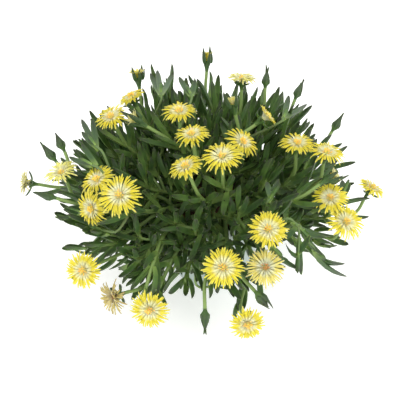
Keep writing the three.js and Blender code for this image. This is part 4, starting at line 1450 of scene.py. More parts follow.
@dataclass
class Thicket:
    """Side shoots and leaves that thicken the plant between the leaves of the solids.

    shells are filled from the outside in, each given as its size as a share of the mound's, its
    lowest level, how much its shoots turn up, and how many places are tried. The curtain hangs
    beside the pot: its reach and height are each given as the least and the range. Hosts are the
    places from which a side shoot can start, as shares of a stem's length. windows are places and
    sizes in the view at which the pot or the floor shows through.
    """

    layout: Layout
    gap: float = -1.3
    stalk: float = 1.1
    stalk_swell: float = 0.15
    stalk_gap: float = -0.6
    stalk_clear: float = 7.0
    stalk_out: float = 0.8
    stalk_ahead: float = 0.6
    host_step: float = 6.0
    hosts_tried: int = 6
    trunk_hosts: Place = (0.25, 1.0)
    shoot_hosts: Place = (0.05, 0.85)
    stalk_hosts: Place = (0.05, 0.7)
    reach: Place = (9.0, 62.0)
    least_along: float = 0.1
    along_weight: float = 20.0
    tip_back: float = 25.0
    spacing: float = 13.5
    pair_step: float = 9.5
    pair_first: float = 1.5
    pair_room: float = 7.0
    bare_foot: float = 6.0
    pairs: int = 4
    fewest_leaves: int = 3
    sizes: Place = (0.56, 0.86)
    narrowing: float = 0.92
    steepest: float = 58.0
    first_lean: float = 12.0
    more_lean: float = 11.0
    lean_varying: float = 0.15
    turn_varying: float = 2.0
    trail_width: float = 5.6
    trail_keel: float = 4.2
    furthest: float = 1.04
    lowest: float = 4.0
    guard: float = 0.47
    guard_least: float = 13.0
    guard_margin: float = 1.0
    shell_limit: float = 0.98
    shell_varying: Place = (0.02, 0.2)
    shell_upright: float = 0.45
    shell_aim: float = 0.4
    curtain: int = 520
    curtain_spread: float = math.radians(250)
    curtain_varying: float = 0.1
    curtain_reach: Place = (64.0, 58.0)
    curtain_height: Place = (12.0, 70.0)
    curtain_out: float = 0.3
    curtain_up: float = 1.1
    curtain_down: float = 0.2
    shells: tuple[tuple[float, float, float, int], ...] = (
        (0.86, -0.9, 0.7, 460), (0.72, -0.95, 0.9, 400), (0.64, -0.9, 0.8, 300), (0.56, -0.6, 1.0, 340),
        (0.4, -0.2, 1.2, 190),
    )  # fmt: skip
    windows: tuple[tuple[float, float, float], ...] = (
        (187, 274, 8), (252, 254, 9), (214, 235, 4), (189, 245, 4), (300, 203, 4), (294, 214, 4),
    )  # fmt: skip

    TRIES = (
        (0, 0, 1.0), (18, 6, 0.95), (-18, 6, 0.95), (34, 12, 0.85), (-34, 12, 0.85), (0, 16, 0.7),
    )  # fmt: skip
    CHECKED = (0.3, 0.65, 1.0)
    TRAIL_NUMBER, SIDE_NUMBER = 400, 500
    TRAIL_KEY, SIDE_KEY, CURTAIN_KEY, LEAF_KEY = 6000, 9000, 7000, 77

    def grow(self, branches: list[Branch]) -> None:
        """Add shoots shell by shell from the outside in, then leaves on the bare stems.

        Args:
            branches: the layout, to which stems and leaves are added.
        """
        self.tips = [stem.tip.place for branch in branches for stem in branch.stems]
        heads = [tip for tip in self.layout.growing_points() if tip.spot is not None]
        self.guards = [
            (*VIEW.place_of(head.place), VIEW.depth(head.place),
             self.guard * (head.spot.diameter or self.guard_least))
            for head in heads
        ]  # fmt: skip
        self.find_hosts(branches)
        for number, trail in enumerate(TRAILS):
            self.hang(trail, number)
        for level, lowest, lift, tries in self.shells:
            self.find_hosts(branches)
            for step in range(tries):
                self.try_shoot(*self.shell_target(level, lowest, lift, step, tries), step)
        self.find_hosts(branches)
        for step in range(self.curtain):
            self.try_shoot(*self.curtain_target(step), self.CURTAIN_KEY + step)
        for branch in branches:
            for stem in branch.stems:
                if stem.tip.kind is not Kind.TRAIL:
                    self.leaf_out(branch, stem)

    def find_hosts(self, branches: list[Branch]) -> None:
        """Note the places from which a side shoot can start, and the stems' directions there.

        Args:
            branches: the layout.
        """
        points, tangents, self.host_branches = [], [], []
        for branch in branches:
            lines = [(branch.trunk, *self.trunk_hosts)]
            for stem in branch.stems:
                if stem.rings:
                    lines.append((stem.path, *(self.shoot_hosts if stem.leafy else self.stalk_hosts)))
            for path, low, high in lines:
                shares = np.arange(low, high, self.host_step / path.length)
                points.append(path.points(shares))
                tangents.append(path.tangents(shares))
                self.host_branches += [branch] * len(shares)
        self.host_points, self.host_tangents = np.vstack(points), np.vstack(tangents)

    def hang(self, trail: Trail, number: int) -> None:
        """Grow a trailing shoot from the stem nearest to its start.

        Args:
            trail: the shoot in the view.
            number: its own number.
        """
        line = [MOUND.under(left, top, trail.near) for left, top in trail.stem]
        pick = int(np.argmin(np.sum((self.host_points - line[0]) ** 2, axis=1)))
        path = Path([self.host_points[pick], *line])
        tip = Tip(Kind.TRAIL, number, line[-1], path.tangents(1.0), line[-1])
        key, number = self.TRAIL_KEY + number, self.TRAIL_NUMBER + number
        stem = Stem(path, [], self.stalk, tip, number, True, RIGHT, key)
        curl = SICKLE if trail.hooked else CURL
        bend = math.atan(curl)
        for root_left, root_top, left, top in trail.leaves:
            root = MOUND.under(root_left, root_top, trail.near)
            chord = MOUND.under(left, top, trail.near) - root
            ahead = unit(chord)
            above = square_to(ahead, UP)
            axis = ahead * math.cos(bend) - above * math.sin(bend)
            face = ahead * math.sin(bend) + above * math.cos(bend)
            length = length_of(chord) * math.cos(bend)
            leaf = Leaf(0, 0.0, root, axis, face, length, self.trail_width, self.trail_keel, curl)
            stem.leaves.append(leaf)
            self.layout.balls.put(*self.layout.leaf_balls(leaf), Sort.LEAF)
        self.host_branches[pick].stems.append(stem)

    def shell_target(
        self, level: float, lowest: float, lift: float, step: int, tries: int
    ) -> tuple[Vec, Vec]:
        """Give the aim of a shoot that ends on a shell inside the mound.

        Args:
            level: the shell's size as a share of the mound's.
            lowest: its lowest level.
            lift: how much its shoots turn up.
            step: the number of the place.
            tries: how many places there are.

        Returns:
            The place and the shoot's direction there.
        """
        up, round_it = self.shell_varying
        height = 1 - ((step + 0.5) / tries) * (1 - lowest) + up * sway(step, Chance.SHELL_HEIGHT)
        height = max(-self.shell_limit, min(self.shell_limit, height))
        turn = step * GOLDEN_ANGLE + round_it * sway(step, Chance.SHELL_TURN) + level
        flat = math.sqrt(1 - height * height) * MOUND.radius
        offset = np.array([flat * math.cos(turn), flat * math.sin(turn), MOUND.tall(height) * height])
        place = np.array(MOUND.centre) + offset * level
        upright = lift * min(1.0, self.shell_upright + max(0.0, height))
        direction = MOUND.normal(place) + UP * upright
        aim = np.array([sway(step, Chance.SHELL_AIM + axis) for axis in range(3)])
        return place, unit(direction + aim * self.shell_aim)

    def curtain_target(self, step: int) -> tuple[Vec, Vec]:
        """Give the aim of a shoot that hangs beside the pot.

        Args:
            step: the number of the place.

        Returns:
            The place and the shoot's direction there.
        """
        share = (step + 0.5) / self.curtain
        turn = -math.pi / 2 + (share - 0.5) * self.curtain_spread
        turn += self.curtain_varying * sway(step, Chance.CURTAIN_TURN)
        out = np.array([math.cos(turn), math.sin(turn), 0.0])
        aside = np.array([-out[1], out[0], 0.0])
        reach = self.curtain_reach[0] + self.curtain_reach[1] * draw(step, Chance.CURTAIN_REACH)
        height = self.curtain_height[0] + self.curtain_height[1] * draw(step, Chance.CURTAIN_HEIGHT)
        outward = self.curtain_out + draw(step, Chance.CURTAIN_OUT)
        upward = self.curtain_up * sway(step, Chance.CURTAIN_UP) - self.curtain_down
        aim = out * outward + UP * upward + aside * sway(step, Chance.CURTAIN_ASIDE)
        return out * reach + UP * height, unit(aim)

    def try_shoot(self, place: Vec, direction: Vec, key: int) -> None:
        """Grow a side shoot to a place from the nearest stem that suits it.

        Args:
            place: where the tips of its leaves should lie.
            direction: the way it points there.
            key: its own number, for draws.
        """
        near = min(length_of(place - other) for other in self.tips) < self.spacing
        if near or not inside_outline(*VIEW.place_of(place)):
            return
        tip = Tip(Kind.SIDE, key, place, direction, place - direction * self.tip_back)
        chords = tip.end - self.host_points
        spans = np.sqrt(np.sum(chords * chords, axis=1))
        along = np.sum(chords * self.host_tangents, axis=1) / np.maximum(spans, 1e-6)
        fits = (spans > self.reach[0]) & (spans < self.reach[1]) & (along > self.least_along)
        ranked = np.flatnonzero(fits)[np.argsort((spans - self.along_weight * along)[fits])]
        for pick in ranked[: 2 * self.hosts_tried : 2]:
            branch, before = self.host_branches[pick], self.layout.balls.count
            stem = self.shoot(branch, self.host_points[pick], self.host_tangents[pick], tip)
            if stem is None:
                continue
            self.leaf_out(branch, stem)
            if len(stem.leaves) >= self.fewest_leaves:
                branch.stems.append(stem)
                self.tips.append(place)
                return
            self.layout.balls.count = before

    def shoot(self, branch: Branch, start: Vec, tangent: Vec, tip: Tip) -> Stem | None:
        """Lay out a side shoot's stalk.

        Args:
            branch: the branch that it grows from.
            start: where it starts.
            tangent: the direction of the stem there.
            tip: the growing point that it ends on.

        Returns:
            The stem, or nothing if its way isn't clear.
        """
        side = square_to(tangent, unit(tip.end - start))
        base = Base(start + side, unit(tangent * self.stalk_ahead + side * self.stalk_out), tangent)
        path = self.layout.stem_path(base, tip, (0, 0))
        backs = [self.pair_first + self.pair_step * order for order in range(self.pairs)]
        pairs = [back for back in backs if back < path.length - self.layout.fork_collar]
        rings = self.layout.stem_rings(path, base.east, 0.0, pairs)
        if not self.layout.smooth(rings, base.heading):
            return None
        points = self.layout.line_points([base.start, *(ring.centre for ring in rings), tip.end])
        radii = np.full(len(points), self.stalk)
        near = distances(points, start) < self.stalk_clear

        def lets_by(own: np.ndarray, hit: np.ndarray) -> np.ndarray:
            """Let the stalk touch its own branch near its start."""
            return (self.layout.balls.owner[hit][:, 1] == branch.index) & near[own]

        balls = self.layout.balls
        if not self.layout.clear_of_pot(points, radii):
            return None
        if not balls.clear(points, radii, self.stalk_gap, lets_by):
            return None
        number = self.SIDE_NUMBER + tip.index + len(branch.stems)
        balls.put(points, radii, Sort.STEM, branch.index, number)
        radius = self.stalk + self.stalk_swell
        return Stem(path, rings, radius, tip, number, True, base.east, self.SIDE_KEY + tip.index)

    def leaf_out(self, branch: Branch, stem: Stem) -> None:
        """Set pairs of leaves wherever a stem is still bare and there is room.

        Args:
            branch: the branch that the stem belongs to.
            stem: the stem, to which leaves are added.
        """
        taken = [leaf.reach for leaf in stem.leaves]
        bare = 0.0 if stem.leafy else self.layout.bare_stalk
        count = int((stem.path.length - bare - self.bare_foot) // self.pair_step)
        for order in range(max(0, count)):
            reach = stem.path.length - bare - self.pair_first - order * self.pair_step
            if any(abs(reach - other) < self.pair_room for other in taken):
                continue
            below = [ring for ring in stem.rings if ring.reach <= reach]
            east = below[-1].east if below else stem.east
            ring = replace(stem.path.frame(max(0.0, reach) / stem.path.length, east), reach=reach)
            lean = self.first_lean + self.more_lean * order + (0 if stem.leafy else self.first_lean)
            lean = math.radians(min(self.steepest, lean))
            for side in (order % 2, 2 + order % 2):
                key = stem.key * 10 + order * 4 + side + self.LEAF_KEY
                self.try_leaf(branch, stem, ring, side, lean, key)

    def try_leaf(
        self, branch: Branch, stem: Stem, ring: Frame, side: int, lean: float, key: int
    ) -> None:
        """Set a leaf by the first turn, lean and length that have room.

        Args:
            branch: the stem's branch.
            stem: the stem, to which the leaf is added.
            ring: the frame of its pair.
            side: the side of the stem.
            lean: how far it should lean out.
            key: its own number, for draws.
        """
        least, most = self.sizes
        for turn, more, size in self.TRIES:
            varied = self.layout.leaf_turn * self.turn_varying * sway(key, Chance.MORE_TURN)
            turned = math.radians(turn) + varied
            tilt = lean * (1 + self.lean_varying * sway(key, Chance.MORE_LEAN)) + math.radians(more)
            leaf = self.layout.leaf_at(stem, ring, side, turned, tilt, key)
            leaf.length *= size * (least + (most - least) * draw(key, Chance.MORE_LENGTH))
            leaf.width *= self.narrowing
            if not self.in_the_way(leaf) and self.layout.leaf_fits(branch, stem, leaf, self.gap):
                stem.leaves.append(leaf)
                return

    def in_the_way(self, leaf: Leaf) -> bool:
        """Tell whether a leaf would hide a bloom or a glimpse of the pot, or reach out too far.

        Args:
            leaf: the leaf.

        Returns:
            True if it would.
        """
        for share in self.CHECKED:
            point = leaf.point(share)
            left, top = VIEW.place_of(point)
            depth = VIEW.depth(point)
            if not inside_outline(left, top):
                return True
            for x, y, far, size in self.guards:
                if depth < far and math.hypot(left - x, top - y) < size + self.guard_margin:
                    return True
            for x, y, size in self.windows:
                if point[1] < 0 and math.hypot(left - x, top - y) < size:
                    return True
        tip = leaf.point(1.0)
        return bool(tip[2] < self.lowest or MOUND.level(tip) > self.furthest)


def linear(colour: str) -> tuple[float, float, float, float]:
    """Turn a hex colour of the screen into linear light.

    Args:
        colour: the colour as "#RRGGBB".

    Returns:
        Red, green, blue and an opacity of 1.
    """
    parts = [int(colour[place : place + 2], 16) / 255 for place in (1, 3, 5)]
    red, green, blue = (p / 12.92 if p <= 0.04045 else ((p + 0.055) / 1.055) ** 2.4 for p in parts)
    return red, green, blue, 1.0


def add_node(
    tree: bpy.types.NodeTree,
    kind: str,
    inputs: dict[str | int, Any] | None = None,
    out: str | int = 0,
    **settings: Any,
) -> Socket:
    """Add a node with its settings and links.

    Args:
        tree: the shader or geometry tree.
        kind: the node's type.
        inputs: for a socket's name or number a value, or the output or list of outputs linked to it.
        out: name or number of the wanted output.
        settings: the node's own properties.

    Returns:
        The wanted output.
    """
    node = tree.nodes.new(kind)
    for name, value in settings.items():
        setattr(node, name, value)
    for name, value in (inputs or {}).items():
        if not isinstance(value, (Socket, list)):
            node.inputs[name].default_value = value
            continue
        for source in value if isinstance(value, list) else [value]:
            tree.links.new(source, node.inputs[name])
    return node.outputs[out]


def set_stops(colour: Socket, *stops: tuple[float, str]) -> Socket:
    """Give a colour ramp its stops.

    Args:
        colour: the ramp's output.
        stops: place and hex colour of each stop, from 0 to 1.

    Returns:
        The same output.
    """
    elements = colour.node.color_ramp.elements
    while len(elements) < len(stops):
        elements.new(0.5)
    for element, (place, shade) in zip(elements, stops):
        element.position, element.color = place, linear(shade)
    return colour


@dataclass(frozen=True)
class Finish:
    """A finish: a material made of nodes, in which patterns have the sizes given in mm."""

    name: str
    roughness: float = 0.5
    relief: float = 0.1
    strength: float = 0.25

    EVEN: ClassVar[dict[str, Any]] = {}

    def material(self) -> bpy.types.Material:
        """Make the material: its colour, its grain as relief, and its even values.

        Returns:
            The finished material.
        """
        material = bpy.data.materials.new(self.name)
        material.use_nodes = True
        tree = material.node_tree
        shader = tree.nodes["Principled BSDF"]
        colour, grain = self.paint(partial(add_node, tree))
        raised = {"Strength": self.strength, "Distance": self.relief * METRES, "Height": grain}
        tree.links.new(colour, shader.inputs["Base Color"])
        tree.links.new(add_node(tree, "ShaderNodeBump", raised), shader.inputs["Normal"])
        for name, value in {"Roughness": self.roughness, "IOR": 1.45, **self.EVEN}.items():
            shader.inputs[name].default_value = value
        return material

    def paint(self, add: Adder) -> tuple[Socket, Socket]:
        """Add the nodes that give the surface its colour and its grain."""
        raise NotImplementedError

    @staticmethod
    def scale(size: float) -> float:
        """Give the texture scale for a pattern of a size in mm."""
        return 1 / (size * METRES)


@dataclass(frozen=True)
class LeafFinish(Finish):
    """Fleshy leaf skin: pale at the foot, dark at the point, each leaf its own green."""

    name: str = "leaf_flesh_grown"
    relief: float = 0.08
    deep: str = "#3A5530"
    body: str = "#48662F"
    bright: str = "#6F8844"
    foot: str = "#86A050"
    point: str = "#303529"
    mottle: float = 6.0
    papilla: float = 0.55

    EVEN = {
        "Subsurface Weight": 0.3, "Subsurface Radius": (0.6, 1.0, 0.25), "Subsurface Scale": 2 * METRES,
        "Specular IOR Level": 0.35,
    }  # fmt: skip

    def paint(self, add: Adder) -> tuple[Socket, Socket]:
        """Mix the greens by leaf and by place along it, lighten the edges as a painted highlight, over
        fine papillae.

        Args:
            add: adds a node to the material.

        Returns:
            The colour and the grain.
        """
        shade, along, edge = (
            add("ShaderNodeAttribute", out="Fac", attribute_name=name)
            for name in ("shade", "along", "edge")
        )
        place = add("ShaderNodeTexCoord", out="Object")
        clouds = {"Vector": place, "Scale": self.scale(self.mottle), "Detail": 3.0}
        mottle = add("ShaderNodeTexNoise", clouds)
        varied = add("ShaderNodeMath", {0: mottle, 1: 0.3, 2: shade}, operation="MULTIPLY_ADD")
        ramp = add("ShaderNodeValToRGB", {0: varied})
        colour = set_stops(ramp, (0.12, self.deep), (0.5, self.body), (1.0, self.bright))
        footed = add("ShaderNodeMapRange", {0: along, 1: 0.0, 2: 0.35, 3: 0.7, 4: 0.0})
        pointed = add("ShaderNodeMapRange", {0: along, 1: 0.58, 2: 0.98, 3: 0.0, 4: 1.0})
        # edges and keel are lightened towards the bright green: a painted highlight where the rims catch
        # the light
        painted_edge_highlight = add("ShaderNodeMath", {0: edge, 1: 0.16}, operation="MULTIPLY")
        for share, tint in ((footed, self.foot), (pointed, self.point), (painted_edge_highlight, self.bright)):
            colour = add("ShaderNodeMix", {0: share, 6: colour, 7: linear(tint)}, 2, data_type="RGBA")
        return colour, add("ShaderNodeTexVoronoi", {"Vector": place, "Scale": self.scale(self.papilla)})


@dataclass(frozen=True)
class StemFinish(Finish):
    """Stem skin: yellowish green where young, browner and fissured towards the root."""

    name: str = "stem_skin_grown"
    roughness: float = 0.55
    relief: float = 0.15
    strength: float = 0.3
    young: str = "#7B9450"
    grown: str = "#5C7440"
    woody: str = "#6B5A3C"
    streak: float = 1.2

    EVEN = {"Subsurface Weight": 0.08, "Subsurface Scale": METRES}

    def paint(self, add: Adder) -> tuple[Socket, Socket]:
        """Mix the colours along the stem and add fine streaks.

        Args:
            add: adds a node to the material.

        Returns:
            The colour and the grain.
        """
        along = add("ShaderNodeAttribute", out="Fac", attribute_name="along")
        place = add("ShaderNodeTexCoord", out="Object")
        fissures = {"Vector": place, "Scale": self.scale(self.streak), "Detail": 4.0}
        streaks = add("ShaderNodeTexNoise", fissures)
        uneven = add("ShaderNodeMath", {0: streaks, 1: 0.3, 2: along}, operation="MULTIPLY_ADD")
        ramp = add("ShaderNodeValToRGB", {0: uneven})
        return set_stops(ramp, (0.12, self.woody), (0.35, self.grown), (0.95, self.young)), streaks


@dataclass(frozen=True)
class PetalFinish(Finish):
    """Silky petal skin: cream towards the heart, with painted shade at its very middle, yellow outside,
    streaked along its length.
    """

    name: str = "petal_skin_fresh"
    relief: float = 0.06
    strength: float = 0.2
    # the heart stop at the very middle stands for painted shade at the foot of the tuft
    heart: str = "#E4E2A2"
    cream: str = "#ECEAA6"
    yellow: str = "#E2CC20"
    rim: str = "#DECD40"
    streak: float = 0.5

    EVEN = {
        "Subsurface Weight": 0.6, "Subsurface Radius": (1.0, 0.9, 0.35), "Subsurface Scale": 2 * METRES,
        "Sheen Weight": 0.1,
    }  # fmt: skip

    def paint(self, add: Adder) -> tuple[Socket, Socket]:
        """Colour the petals by how far out they reach, each with its own tone.

        Args:
            add: adds a node to the material.

        Returns:
            The colour and the grain.
        """
        reach, shade = (
            add("ShaderNodeAttribute", out="Fac", attribute_name=name) for name in ("reach", "shade")
        )
        place = add("ShaderNodeTexCoord", out="Object")
        fibres = {"Vector": place, "Scale": self.scale(self.streak), "Detail": 2.0}
        streaks = add("ShaderNodeTexNoise", fibres)
        moved = add("ShaderNodeMath", {0: shade, 1: 0.05, 2: reach}, operation="MULTIPLY_ADD")
        loose = add("ShaderNodeMath", {0: streaks, 1: 0.08, 2: moved}, operation="MULTIPLY_ADD")
        # the stop at 0.1 paints shade at the foot of the tuft; beyond it the petals go from cream to
        # yellow by reach
        colour = set_stops(
            add("ShaderNodeValToRGB", {0: loose}),
            (0.1, self.heart), (0.28, self.cream), (0.4, self.cream), (0.6, self.yellow),
            (0.85, self.yellow), (1.0, self.rim),
        )  # fmt: skip
        return colour, streaks


@dataclass(frozen=True)
class HeartFinish(Finish):
    """Stamens: cream threads that carry orange-yellow pollen."""

    name: str = "stamens_dusted"
    roughness: float = 0.7
    strength: float = 0.5
    thread: str = "#ECE6A4"
    pollen: str = "#FFE480"
    dusk: str = "#F5C452"
    grain: float = 0.6

    EVEN = {"Subsurface Weight": 0.5, "Subsurface Scale": METRES}

    def paint(self, add: Adder) -> tuple[Socket, Socket]:
        """Colour each thread from its foot to its pollen.

        Args:
            add: adds a node to the material.

        Returns:
            The colour and the grain.
        """
        along = add("ShaderNodeAttribute", out="Fac", attribute_name="along")
        place = add("ShaderNodeTexCoord", out="Object")
        grain = add("ShaderNodeTexNoise", {"Vector": place, "Scale": self.scale(self.grain)})
        pollen = {0: grain, 6: linear(self.pollen), 7: linear(self.dusk)}
        dusted = add("ShaderNodeMix", pollen, 2, data_type="RGBA")
        share = add("ShaderNodeMapRange", {0: along, 1: 0.35, 2: 0.65})
        tones = {0: share, 6: linear(self.thread), 7: dusted}
        return add("ShaderNodeMix", tones, 2, data_type="RGBA"), grain


@dataclass(frozen=True)
class Wear:
    """How a bloom of some age looks: its petals' skin, how loose and long they are, its tuft."""

    petals: PetalFinish
    looseness: float = 0.07
    stretch: float = 1.0
    tuft: float = 5.2
    closing: float = 0.0
    heart: HeartFinish = HeartFinish()


@dataclass(frozen=True)
class PotFinish(Finish):
    """Thin pale grey plastic, formed over a mould, a little dusty near the rim."""

    name: str = "pot_plastic_formed"
    roughness: float = 0.45
    strength: float = 0.15
    plastic: str = "#B7C4BF"
    shade: str = "#A3B1AB"
    dust: str = "#8D8672"
    flow: float = 14.0
    grain: float = 0.8
    dusty_from: float = 70.0
    dusty_to: float = 100.0

    def paint(self, add: Adder) -> tuple[Socket, Socket]:
        """Mix faint flow marks with dust that gathers towards the top.

        Args:
            add: adds a node to the material.

        Returns:
            The colour and the grain.
        """
        place = add("ShaderNodeTexCoord", out="Object")
        drawn = add("ShaderNodeMapping", {"Vector": place, "Scale": (1.0, 1.0, 0.25)})
        marks = {"Vector": drawn, "Scale": self.scale(self.flow), "Detail": 4.0}
        flow = add("ShaderNodeTexNoise", marks)
        pores = {"Vector": place, "Scale": self.scale(self.grain), "Detail": 2.0}
        grain = add("ShaderNodeTexNoise", pores)
        tones = {0: flow, 6: linear(self.plastic), 7: linear(self.shade)}
        plastic = add("ShaderNodeMix", tones, 2, data_type="RGBA")
        height = add("ShaderNodeSeparateXYZ", {0: place}, "Z")
        rise = {0: height, 1: self.dusty_from * METRES, 2: self.dusty_to * METRES, 3: 0.0, 4: 0.5}
        near_rim = add("ShaderNodeMapRange", rise)
        dusty = add("ShaderNodeMath", {0: near_rim, 1: flow}, operation="MULTIPLY")
        tones = {0: dusty, 6: plastic, 7: linear(self.dust)}
        return add("ShaderNodeMix", tones, 2, data_type="RGBA"), grain


@dataclass(frozen=True)
class SoilFinish(Finish):
    """Damp peat and bark, from near black to reddish brown."""

    name: str = "potting_mix_damp"
    roughness: float = 0.9
    relief: float = 0.8
    strength: float = 0.8
    peat: str = "#2B2018"
    fibre: str = "#4A3524"
    bark: str = "#7A5636"
    crumb: float = 2.2

    def paint(self, add: Adder) -> tuple[Socket, Socket]:
        """Mix crumbs of peat and bark, with a tone of its own for each chip.

        Args:
            add: adds a node to the material.

        Returns:
            The colour and the grain.
        """
        place = add("ShaderNodeTexCoord", out="Object")
        shade = add("ShaderNodeAttribute", out="Fac", attribute_name="shade")
        rough = {"Vector": place, "Scale": self.scale(self.crumb), "Detail": 6.0, "Roughness": 0.7}
        crumbs = add("ShaderNodeTexNoise", rough)
        mixed = add("ShaderNodeMath", {0: shade, 1: 0.45, 2: crumbs}, operation="MULTIPLY_ADD")
        ramp = add("ShaderNodeValToRGB", {0: mixed})
        return set_stops(ramp, (0.35, self.peat), (0.6, self.fibre), (0.95, self.bark)), crumbs


@dataclass(frozen=True)
class FloorFinish(Finish):
    """White light table: a matt floor, faintly uneven, that glows a little from below."""

    name: str = "studio_floor_painted"
    roughness: float = 0.9
    strength: float = 0.05
    white: str = "#FBFBFA"
    soft: str = "#F7F7F6"
    cloud: float = 400.0

    EVEN = {"Emission Color": linear("#FBFBFA"), "Emission Strength": 0.3}

    def paint(self, add: Adder) -> tuple[Socket, Socket]:
        """Mix two near whites.

        Args:
            add: adds a node to the material.

        Returns:
            The colour and the grain.
        """
        place = add("ShaderNodeTexCoord", out="Object")
        cloud = add("ShaderNodeTexNoise", {"Vector": place, "Scale": self.scale(self.cloud)})
        whites = {0: cloud, 6: linear(self.white), 7: linear(self.soft)}
        return add("ShaderNodeMix", whites, 2, data_type="RGBA"), cloud


def make_mesh(name: str, corners: np.ndarray, faces: Sequence[Sequence[int]]) -> bpy.types.Mesh:
    """Make a mesh with all its faces outward, smooth but for its sharp edges.

    Args:
        name: the mesh's name.
        corners: one row in mm for each corner.
        faces: corner numbers of each face.

    Returns:
        The mesh, in metres.
    """
    mesh = bpy.data.meshes.new(name)
    mesh.from_pydata((np.asarray(corners, float) * METRES).tolist(), [], [list(face) for face in faces])
    work = bmesh.new()
    work.from_mesh(mesh)
    bmesh.ops.recalc_face_normals(work, faces=work.faces)
    for edge in work.edges:
        edge.smooth = edge.calc_face_angle(0.0) < CREASE
    for face in work.faces:
        face.smooth = True
    work.to_mesh(mesh)
    work.free()
    return mesh


def set_numbers(mesh: bpy.types.Mesh, **numbers: np.ndarray) -> None:
    """Store numbers, whole numbers or vectors on the corners of a mesh.

    Args:
        mesh: the mesh.
        numbers: for an attribute's name, one row for each corner.
    """
    for name, values in numbers.items():
        kind, slot = ("FLOAT_VECTOR", "vector") if values.ndim == 2 else ("FLOAT", "value")
        if values.dtype.kind == "i":
            kind = "INT"
        layer = mesh.attributes.new(name, kind, "POINT")
        plain = values.astype(np.int32 if kind == "INT" else np.float32)
        layer.data.foreach_set(slot, plain.ravel())


def skin_form(
    name: str, rings: np.ndarray, tip: Sequence[float] | None, **numbers: np.ndarray
) -> bpy.types.Mesh:
    """Join rings of corners into a closed form.

    Args:
        name: the mesh's name.
        rings: corners in mm, as ring, corner, coordinate.
        tip: a last point that the skin closes on, or nothing for a flat end.
        numbers: what the corners store, with the tip's last.

    Returns:
        The mesh.
    """
    count, around = rings.shape[:2]
    corners = rings.reshape(-1, 3)
    ahead = [*range(1, around), 0]
    faces: list[tuple[int, ...]] = [tuple(range(around))]
    for low in range(0, (count - 1) * around, around):
        high = low + around
        faces += [(low + c, low + a, high + a, high + c) for c, a in enumerate(ahead)]
    last = (count - 1) * around
    if tip is None:
        faces.append(tuple(range(last, last + around)))
    else:
        faces += [(last + c, last + a, len(corners)) for c, a in enumerate(ahead)]
        corners = np.vstack([corners, tip])
    mesh = make_mesh(name, corners, faces)
    set_numbers(mesh, **numbers)
    return mesh


@dataclass(frozen=True)
class LeafForm:
    """A three-sided fleshy leaf along +Z, its flat face towards +Y, rooted at the origin.

    ripe is how far its skin is towards the dark of a point at its foot already.
    """

    length: float = Layout.leaf_length
    width: float = Layout.leaf_width
    keel: float = Layout.leaf_keel
    curl: float = CURL
    aside: float = 0.0
    widths: tuple[float, ...] = (0.62, 0.78, 0.94, 1.02, 0.96, 0.66, 0.3)
    depths: tuple[float, ...] = (0.75, 0.92, 1.0, 0.98, 0.88, 0.6, 0.28)
    ripe: float = 0.0

    SHARES = (-0.03, 0.1, 0.3, 0.55, 0.76, 0.9, 0.975)
    ACROSS = (-1.0, 0.0, 1.0, 0.62, 0.0, -0.62)
    BEHIND = (0.0, 0.12, 0.0, 0.6, 1.0, 0.6)
    # How much each corner of a ring carries the painted highlight of the rims and keel
    EDGES = (1.0, 0.0, 1.0, 0.0, 0.7, 0.0)

    def mesh(self, name: str) -> bpy.types.Mesh:
        """Build the leaf.

        Args:
            name: the mesh's name.

        Returns:
            The mesh, with the numbers along and edge.
        """
        share, width, depth = (np.array(row)[:, None] for row in (self.SHARES, self.widths, self.depths))
        x = np.array(self.ACROSS) * self.width * width / 2 + self.aside * share**2
        y = self.length * self.curl * share**2 - np.array(self.BEHIND) * self.keel * depth
        z = np.broadcast_to(self.length * share, x.shape)
        along = np.append(np.repeat(self.SHARES, len(self.ACROSS)), 1.0)
        along = self.ripe + (1 - self.ripe) * along
        edge = np.append(np.tile(self.EDGES, len(self.SHARES)), 0.5)
        tip = (self.aside, self.length * self.curl, self.length)
        return skin_form(name, np.stack([x, y, z], axis=-1), tip, along=along, edge=edge)


@dataclass(frozen=True)
class TurnedForm:
    """A body about +Z, ridged like a bud or round, from [radius, height, along] rings."""

    rings: tuple[tuple[float, float, float], ...]
    sides: int = 10
    ridge: float = 0.1
    tip: tuple[float, float] | None = None

    def mesh(self, name: str) -> bpy.types.Mesh:
        """Build the body.

        Args:
            name: the mesh's name.

        Returns:
            The mesh, with the numbers along and edge, where edge marks the ridges that the leaf skin
            lightens as a painted highlight.
        """
        side = np.arange(self.sides)
        angle = FULL_TURN * side / self.sides
        radius, height, along = (np.array(row)[:, None] for row in zip(*self.rings))
        radius = radius * (1 - self.ridge * (side % 2))
        rings = np.stack([radius * np.cos(angle), radius * np.sin(angle), height + 0 * radius], axis=-1)
        # edge marks every other side, the ridges, which the leaf skin lightens as a painted highlight
        along, edge = np.repeat(along, self.sides), np.tile(1.0 - side % 2, len(self.rings))
        if self.tip is None:
            return skin_form(name, rings, None, along=along, edge=edge)
        along, edge = np.append(along, self.tip[1]), np.append(edge, 0.5)
        return skin_form(name, rings, (0.0, 0.0, self.tip[0]), along=along, edge=edge)


